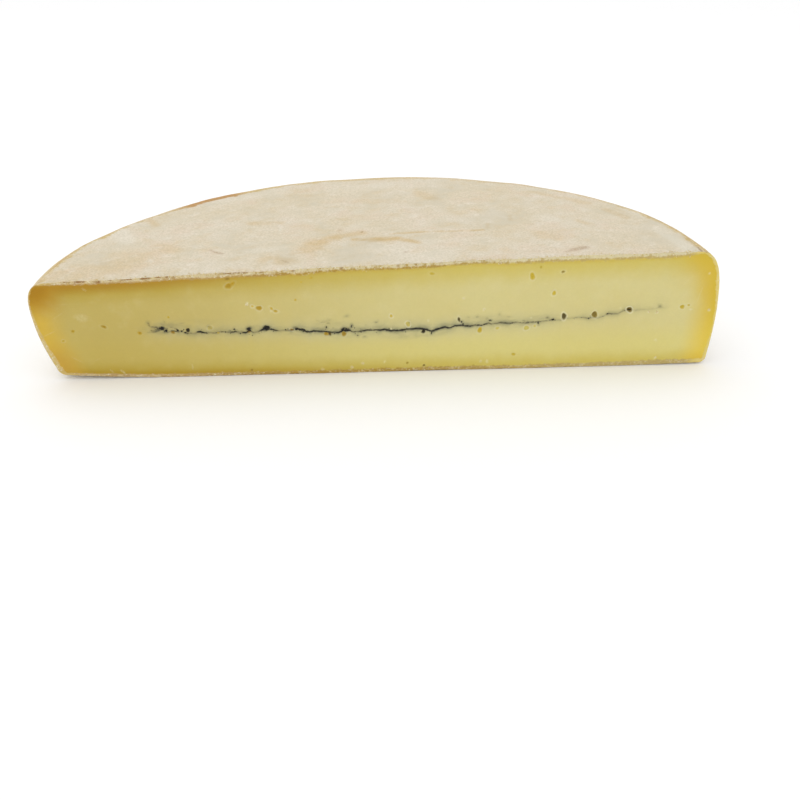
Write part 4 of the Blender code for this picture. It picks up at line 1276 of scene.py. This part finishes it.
def node_tree(name, numbers):
    """A geometry tree with the named number inputs, its maker, and its input and output nodes."""
    tree = bpy.data.node_groups.new(name, "GeometryNodeTree")
    tree.interface.new_socket(name="Geometry", in_out="INPUT", socket_type="NodeSocketGeometry")
    for number in numbers:
        kind = "NodeSocketInt" if number == "Seed" else "NodeSocketFloat"
        tree.interface.new_socket(name=number, in_out="INPUT", socket_type=kind)
    tree.interface.new_socket(name="Geometry", in_out="OUTPUT", socket_type="NodeSocketGeometry")
    nodes = Nodes(tree)
    return tree, nodes, nodes.add("NodeGroupInput"), nodes.add("NodeGroupOutput")


def grain_tree(name, material):
    """Lumpy grains on every point, each turned at random and sized by the point's own size."""
    tree, nodes, given, result = node_tree(name, ("Grain", "Lumpiness", "Seed"))
    round_grain = {"Radius": given.outputs["Grain"], "Subdivisions": GRAIN_ROUNDS}
    ball = nodes.add("GeometryNodeMeshIcoSphere", round_grain)
    any_turn = {1: (math.tau, math.tau, math.tau), "Seed": given.outputs["Seed"]}
    turn = nodes.add("FunctionNodeRandomValue", any_turn, data_type="FLOAT_VECTOR")
    spin = nodes.add("FunctionNodeEulerToRotation", {0: turn})
    size = nodes.add("GeometryNodeInputNamedAttribute", {"Name": "size"}, data_type="FLOAT_VECTOR")
    stand = {"Points": given.outputs["Geometry"], "Instance": ball, "Rotation": spin, "Scale": size}
    real = nodes.add("GeometryNodeRealizeInstances", {0: nodes.add("GeometryNodeInstanceOnPoints", stand)})
    spot = nodes.add("GeometryNodeInputPosition")
    lumps = nodes.add("ShaderNodeTexNoise", {"Vector": spot, "Scale": 1800.0, "Detail": 1.0})
    push = nodes.vector("SUBTRACT", lumps.outputs["Color"], (0.5, 0.5, 0.5))
    push = nodes.scaled(push, given.outputs["Lumpiness"])
    moved = nodes.add("GeometryNodeSetPosition", {"Geometry": real, "Offset": push})
    nodes.join(result.inputs[0], nodes.add("GeometryNodeSetMaterial", {0: moved, "Material": material}))
    return tree


def relief_tree(material):
    """Raises and dents the rind along its outward directions, less close to the cut."""
    tree, nodes, given, result = node_tree("rind_relief", ("Lumps", "Pitting", "Cut"))
    outward = nodes.add("GeometryNodeInputNamedAttribute", {"Name": "outward"}, data_type="FLOAT_VECTOR")
    spot = nodes.add("GeometryNodeInputPosition")
    _, y, _ = nodes.parts(spot)
    lumps = nodes.noise(spot, 14.0, 3.0, 0.5) - 0.5
    pits = nodes.noise(spot, 3.2, 2.0, 0.6) - 0.5
    height = lumps * given.outputs["Lumps"] + pits * given.outputs["Pitting"]
    fade = nodes.step(y - given.outputs["Cut"], 0.5 * MM, 4.5 * MM)
    rise = {"Geometry": given.outputs["Geometry"], "Offset": nodes.scaled(outward, height * fade)}
    moved = nodes.add("GeometryNodeSetPosition", rise)
    real = nodes.add("GeometryNodeRealizeInstances", {0: moved})
    nodes.join(result.inputs[0], nodes.add("GeometryNodeSetMaterial", {0: real, "Material": material}))
    return tree


def place_grains(name, places, sizes, values, material, node, slot):
    """Puts a grain of its own size at each place, and all of them in the scene as one piece."""
    points = bpy.data.meshes.new(name + "_points")
    points.from_pydata(np.asarray(places).tolist(), [], [])
    add_values(points, "size", np.asarray(sizes))
    place(name, plain_copy(name, points, grain_tree(name, material), values), node, slot)


def make_rind(material):
    """The rind as three closed shells, each raised and dented by the same tree."""
    relief = relief_tree(material)
    values = {"Lumps": 0.5 * MM, "Pitting": 0.12 * MM, "Cut": CUT_Y}
    top = disc_cover(400, 200, FLAT_RADIUS, THICKNESS, face_up=True, shoulder_rows=14)
    foot = disc_cover(180, 90, PROFILE_RADIUS[-1], 0.0, face_up=False, shoulder_rows=0)
    covers = (("rind_top", top, DISC_SHEET), ("rind_side", flank_cover(), SIDE_SHEET),
              ("rind_underside", foot, DISC_SHEET))
    for name, (skin, drum, cloth), sheet_size in covers:
        mesh = skin.mesh(name, sheet_size)
        rind_values(mesh, drum, cloth, skin.count - len(drum))
        place(name, plain_copy(name, mesh, relief, values), "cheese", "rind")


def make_paste(material):
    place("paste", paste_body(FACE_COLUMNS, FACE_ROWS), "cheese", "paste", material)


def make_ash(material):
    """The sheet of ash: a ragged dark line at the cut that runs back through the paste as a thin layer."""
    x = np.arange(ASH_LINE[0][0], ASH_LINE[-1][0], 0.3) * MM
    level, thick, dark = ash_path(x)
    points = np.stack((x, np.zeros_like(x), np.zeros_like(x)), 1)
    ragged = 1 + 0.65 * noise_at(points + 2.0, 0.0011) + 0.60 * noise_at(points + 3.0, 0.0040)
    patches = 0.42 * noise_at(points + 6.0, 0.0060) + 0.26 * noise_at(points + 8.0, 0.0022)
    seen = smooth(dark + patches, 0.50, 0.78)
    half = np.maximum(0.40 * thick * ragged * np.clip(dark + 0.1, 0.3, 1), 0.08 * MM)
    _, _, _, hollow = eye_fields(x, level)
    proud = 0.01 * MM + 0.10 * MM * noise_at(points + 4.0, 0.0010) - hollow
    proud = proud * seen - ASH_SUNK * (1 - seen)
    reach = np.sqrt(np.clip(1 - ((x - ASH_CENTRE_X) / (ASH_RADIUS * 1.02)) ** 2, 0.002, 1)) * ASH_RADIUS

    def layer_row(share, side):
        back = reach * share
        near = np.exp(-back / ASH_LEVELS_OUT)
        z = level * near + ash_depth_height(x, back) * (1 - near)
        near = np.exp(-back / ASH_EVENS_OUT)
        spread = (half * near + ASH_HALF_THICKNESS * (1 - near)) * (0.2 if share == 1.0 else 1.0)
        return np.stack((x + AXIS_X, CUT_Y + back, z + side * spread), 1)

    def front_row(drop, out):
        wave = noise_at(points + 5.0 + drop, 0.0008) * 0.34
        depth = CUT_Y - proud + 0.25 * MM * (1 - out) * seen
        return np.stack((x + AXIS_X, depth, level + half * (drop + wave)), 1)

    rows = [(layer_row(share, 1.0), 0.56 + 0.05 * share) for share in ASH_BACK_SHARES]
    rows += [(front_row(drop, out), 0.5 + 0.05 * drop) for drop, out in ASH_FRONT]
    rows += [(layer_row(share, -1.0), 0.44 - 0.05 * share) for share in ASH_BACK_SHARES[::-1]]
    skin = Skin()
    sheet_x = (x - x[0]) / (x[-1] - x[0])
    table = [skin.add(row, None, None, np.stack((sheet_x, np.full(len(x), v)), 1)) for row, v in rows]
    skin.quads(np.array(table + table[:1]))
    skin.polygon([row[0] for row in table])
    skin.polygon([row[-1] for row in table[::-1]])
    place("ash_line", skin.mesh("ash_line", 1.0), "ash_layer", "ash", material)


def make_specks(material):
    """Loose ash specks pressed into the paste near the line, and larger blobs on it."""
    draw = np.random.default_rng(SPECK_SEED)
    places, sizes = [], []

    def speck(x, z, width, height):
        _, _, _, hollow = eye_fields(np.array([x]), np.array([z]))
        places.append((x + AXIS_X, CUT_Y + hollow[0] + 0.16 * MM, z))
        sizes.append((width, 0.30 + 0.2 * min(width, height), height))

    for x, z, width, height, _, dark in ASH_SPOTS:
        if dark >= 0.6:
            for _ in range(3):
                aside, up = draw.normal(0, 0.18, 2)
                speck((x + aside * width) * MM, (z + up * height) * MM, width * 0.42, height * 0.42)
    x = draw.uniform(-120, 156, SPECKS) * MM
    level, _, dark = ash_path(x)
    off = draw.normal(0.30, 0.9, SPECKS) * MM + draw.choice((-0.3, 0.3), SPECKS) * MM
    keep = draw.random(SPECKS) < np.clip(dark - 0.15, 0.04, 1) * 0.6
    for px, pz, stay, size in zip(x, level + off, keep, draw.lognormal(-1.50, 0.42, SPECKS)):
        if stay:
            speck(px, pz, size * draw.uniform(0.8, 1.9), size)
    values = {"Grain": 0.75 * MM, "Lumpiness": 0.35 * MM, "Seed": 7}
    place_grains("ash_specks", places, sizes, values, material, "ash_layer", "ash")


def make_crumbs(material):
    """Cream crumbs that the knife left along the rind and here and there on the paste."""
    draw = np.random.default_rng(CRUMB_SEED)
    places, sizes = [], []
    for x, z, width, height, _, strength in PALE_FLECKS:
        if strength >= 0.7 and max(width, height) < 2.2:
            for _ in range(3):
                aside, up = draw.normal(0, 0.2, 2)
                places.append(((x + aside * width) * MM + AXIS_X, CUT_Y + 0.05 * MM, (z + up * height) * MM))
                sizes.append((width * 0.40, 0.35, height * 0.36))

    def along_edge(reach, number, height):
        x = draw.uniform(-reach, reach, number)
        return np.stack((x, np.full(number, CUT_OFFSET), np.full(number, height)), 1)

    top = settle(along_edge(0.168, TOP_CRUMBS, THICKNESS))
    top[:, 2] -= np.abs(draw.normal(0, 1.1, TOP_CRUMBS)) * MM + 0.35 * MM
    foot = settle(along_edge(0.172, FOOT_CRUMBS, 0.0))
    foot[:, 2] += np.abs(draw.normal(0, 0.6, FOOT_CRUMBS)) * MM + 0.3 * MM
    brim = along_edge(0.171, BRIM_CRUMBS, THICKNESS)
    brim[:, 1] += LIP + np.abs(draw.normal(0, 1.1, BRIM_CRUMBS)) * MM
    for spot, size in zip(settle(brim), draw.lognormal(-1.35, 0.35, BRIM_CRUMBS)):
        places.append((spot[0], spot[1], spot[2] + 0.10 * MM))
        sizes.append((size * draw.uniform(0.8, 1.9), size, size * 0.7))
    for spot in np.concatenate((top, foot)):
        size = draw.lognormal(-1.30, 0.35)
        places.append((spot[0], CUT_Y + 0.26 * MM, max(spot[2], (size + 0.2) * MM)))
        sizes.append((size * draw.uniform(0.8, 2.0), size * 0.6, size))
    values = {"Grain": 0.8 * MM, "Lumpiness": 0.7 * MM, "Seed": 3}
    place_grains("crumbs", places, sizes, values, material, "cheese", "paste")


def make_floor():
    """A plain pale floor, a little below the foot, far wider than the view."""
    mesh = bpy.data.meshes.new("floor")
    reach, level = 40.0, -0.2 * MM
    corners = [(-reach, -reach, level), (reach, -reach, level), (reach, reach, level), (-reach, reach, level)]
    mesh.from_pydata(corners, [], [(0, 1, 2, 3)])
    mesh.materials.append(floor_finish())
    add_object("floor", mesh)


def make_light():
    """An even white studio, and one soft lamp high up."""
    world = bpy.data.worlds.new("studio")
    world.use_nodes = True
    back = world.node_tree.nodes["Background"]
    back.inputs["Color"].default_value = (1.0, 1.0, 1.0, 1.0)
    back.inputs["Strength"].default_value = 1.0
    bpy.context.scene.world = world
    bpy.context.scene.view_settings.view_transform = "Standard"
    lamp = bpy.data.lights.new("overhead", "AREA")
    lamp.shape = "SQUARE"
    lamp.size = 1.2
    lamp.energy = 3.0
    lamp.color = (1.0, 0.99, 0.97)
    light = add_object("overhead", lamp)
    light.location = LAMP_PLACE
    light.rotation_euler = (-LAMP_PLACE).to_track_quat("-Z", "Y").to_euler()


def make_camera():
    """The camera, turned so that its right and up are those of the photo."""
    lens = bpy.data.cameras.new("camera")
    lens.sensor_width = CAMERA_SENSOR
    lens.lens = CAMERA_LENS
    lens.clip_start = 0.01
    camera = add_object("camera", lens)
    back = CAMERA_RIGHT.cross(CAMERA_UP)
    turn = Matrix((CAMERA_RIGHT, CAMERA_UP, back)).transposed().to_4x4()
    camera.matrix_world = Matrix.Translation(CAMERA_PLACE) @ turn
    bpy.context.scene.camera = camera


make_camera()
make_light()
make_floor()
make_rind(rind_finish())
make_paste(paste_finish())
ash = ash_finish()
make_ash(ash)
make_specks(ash)
make_crumbs(crumb_finish())
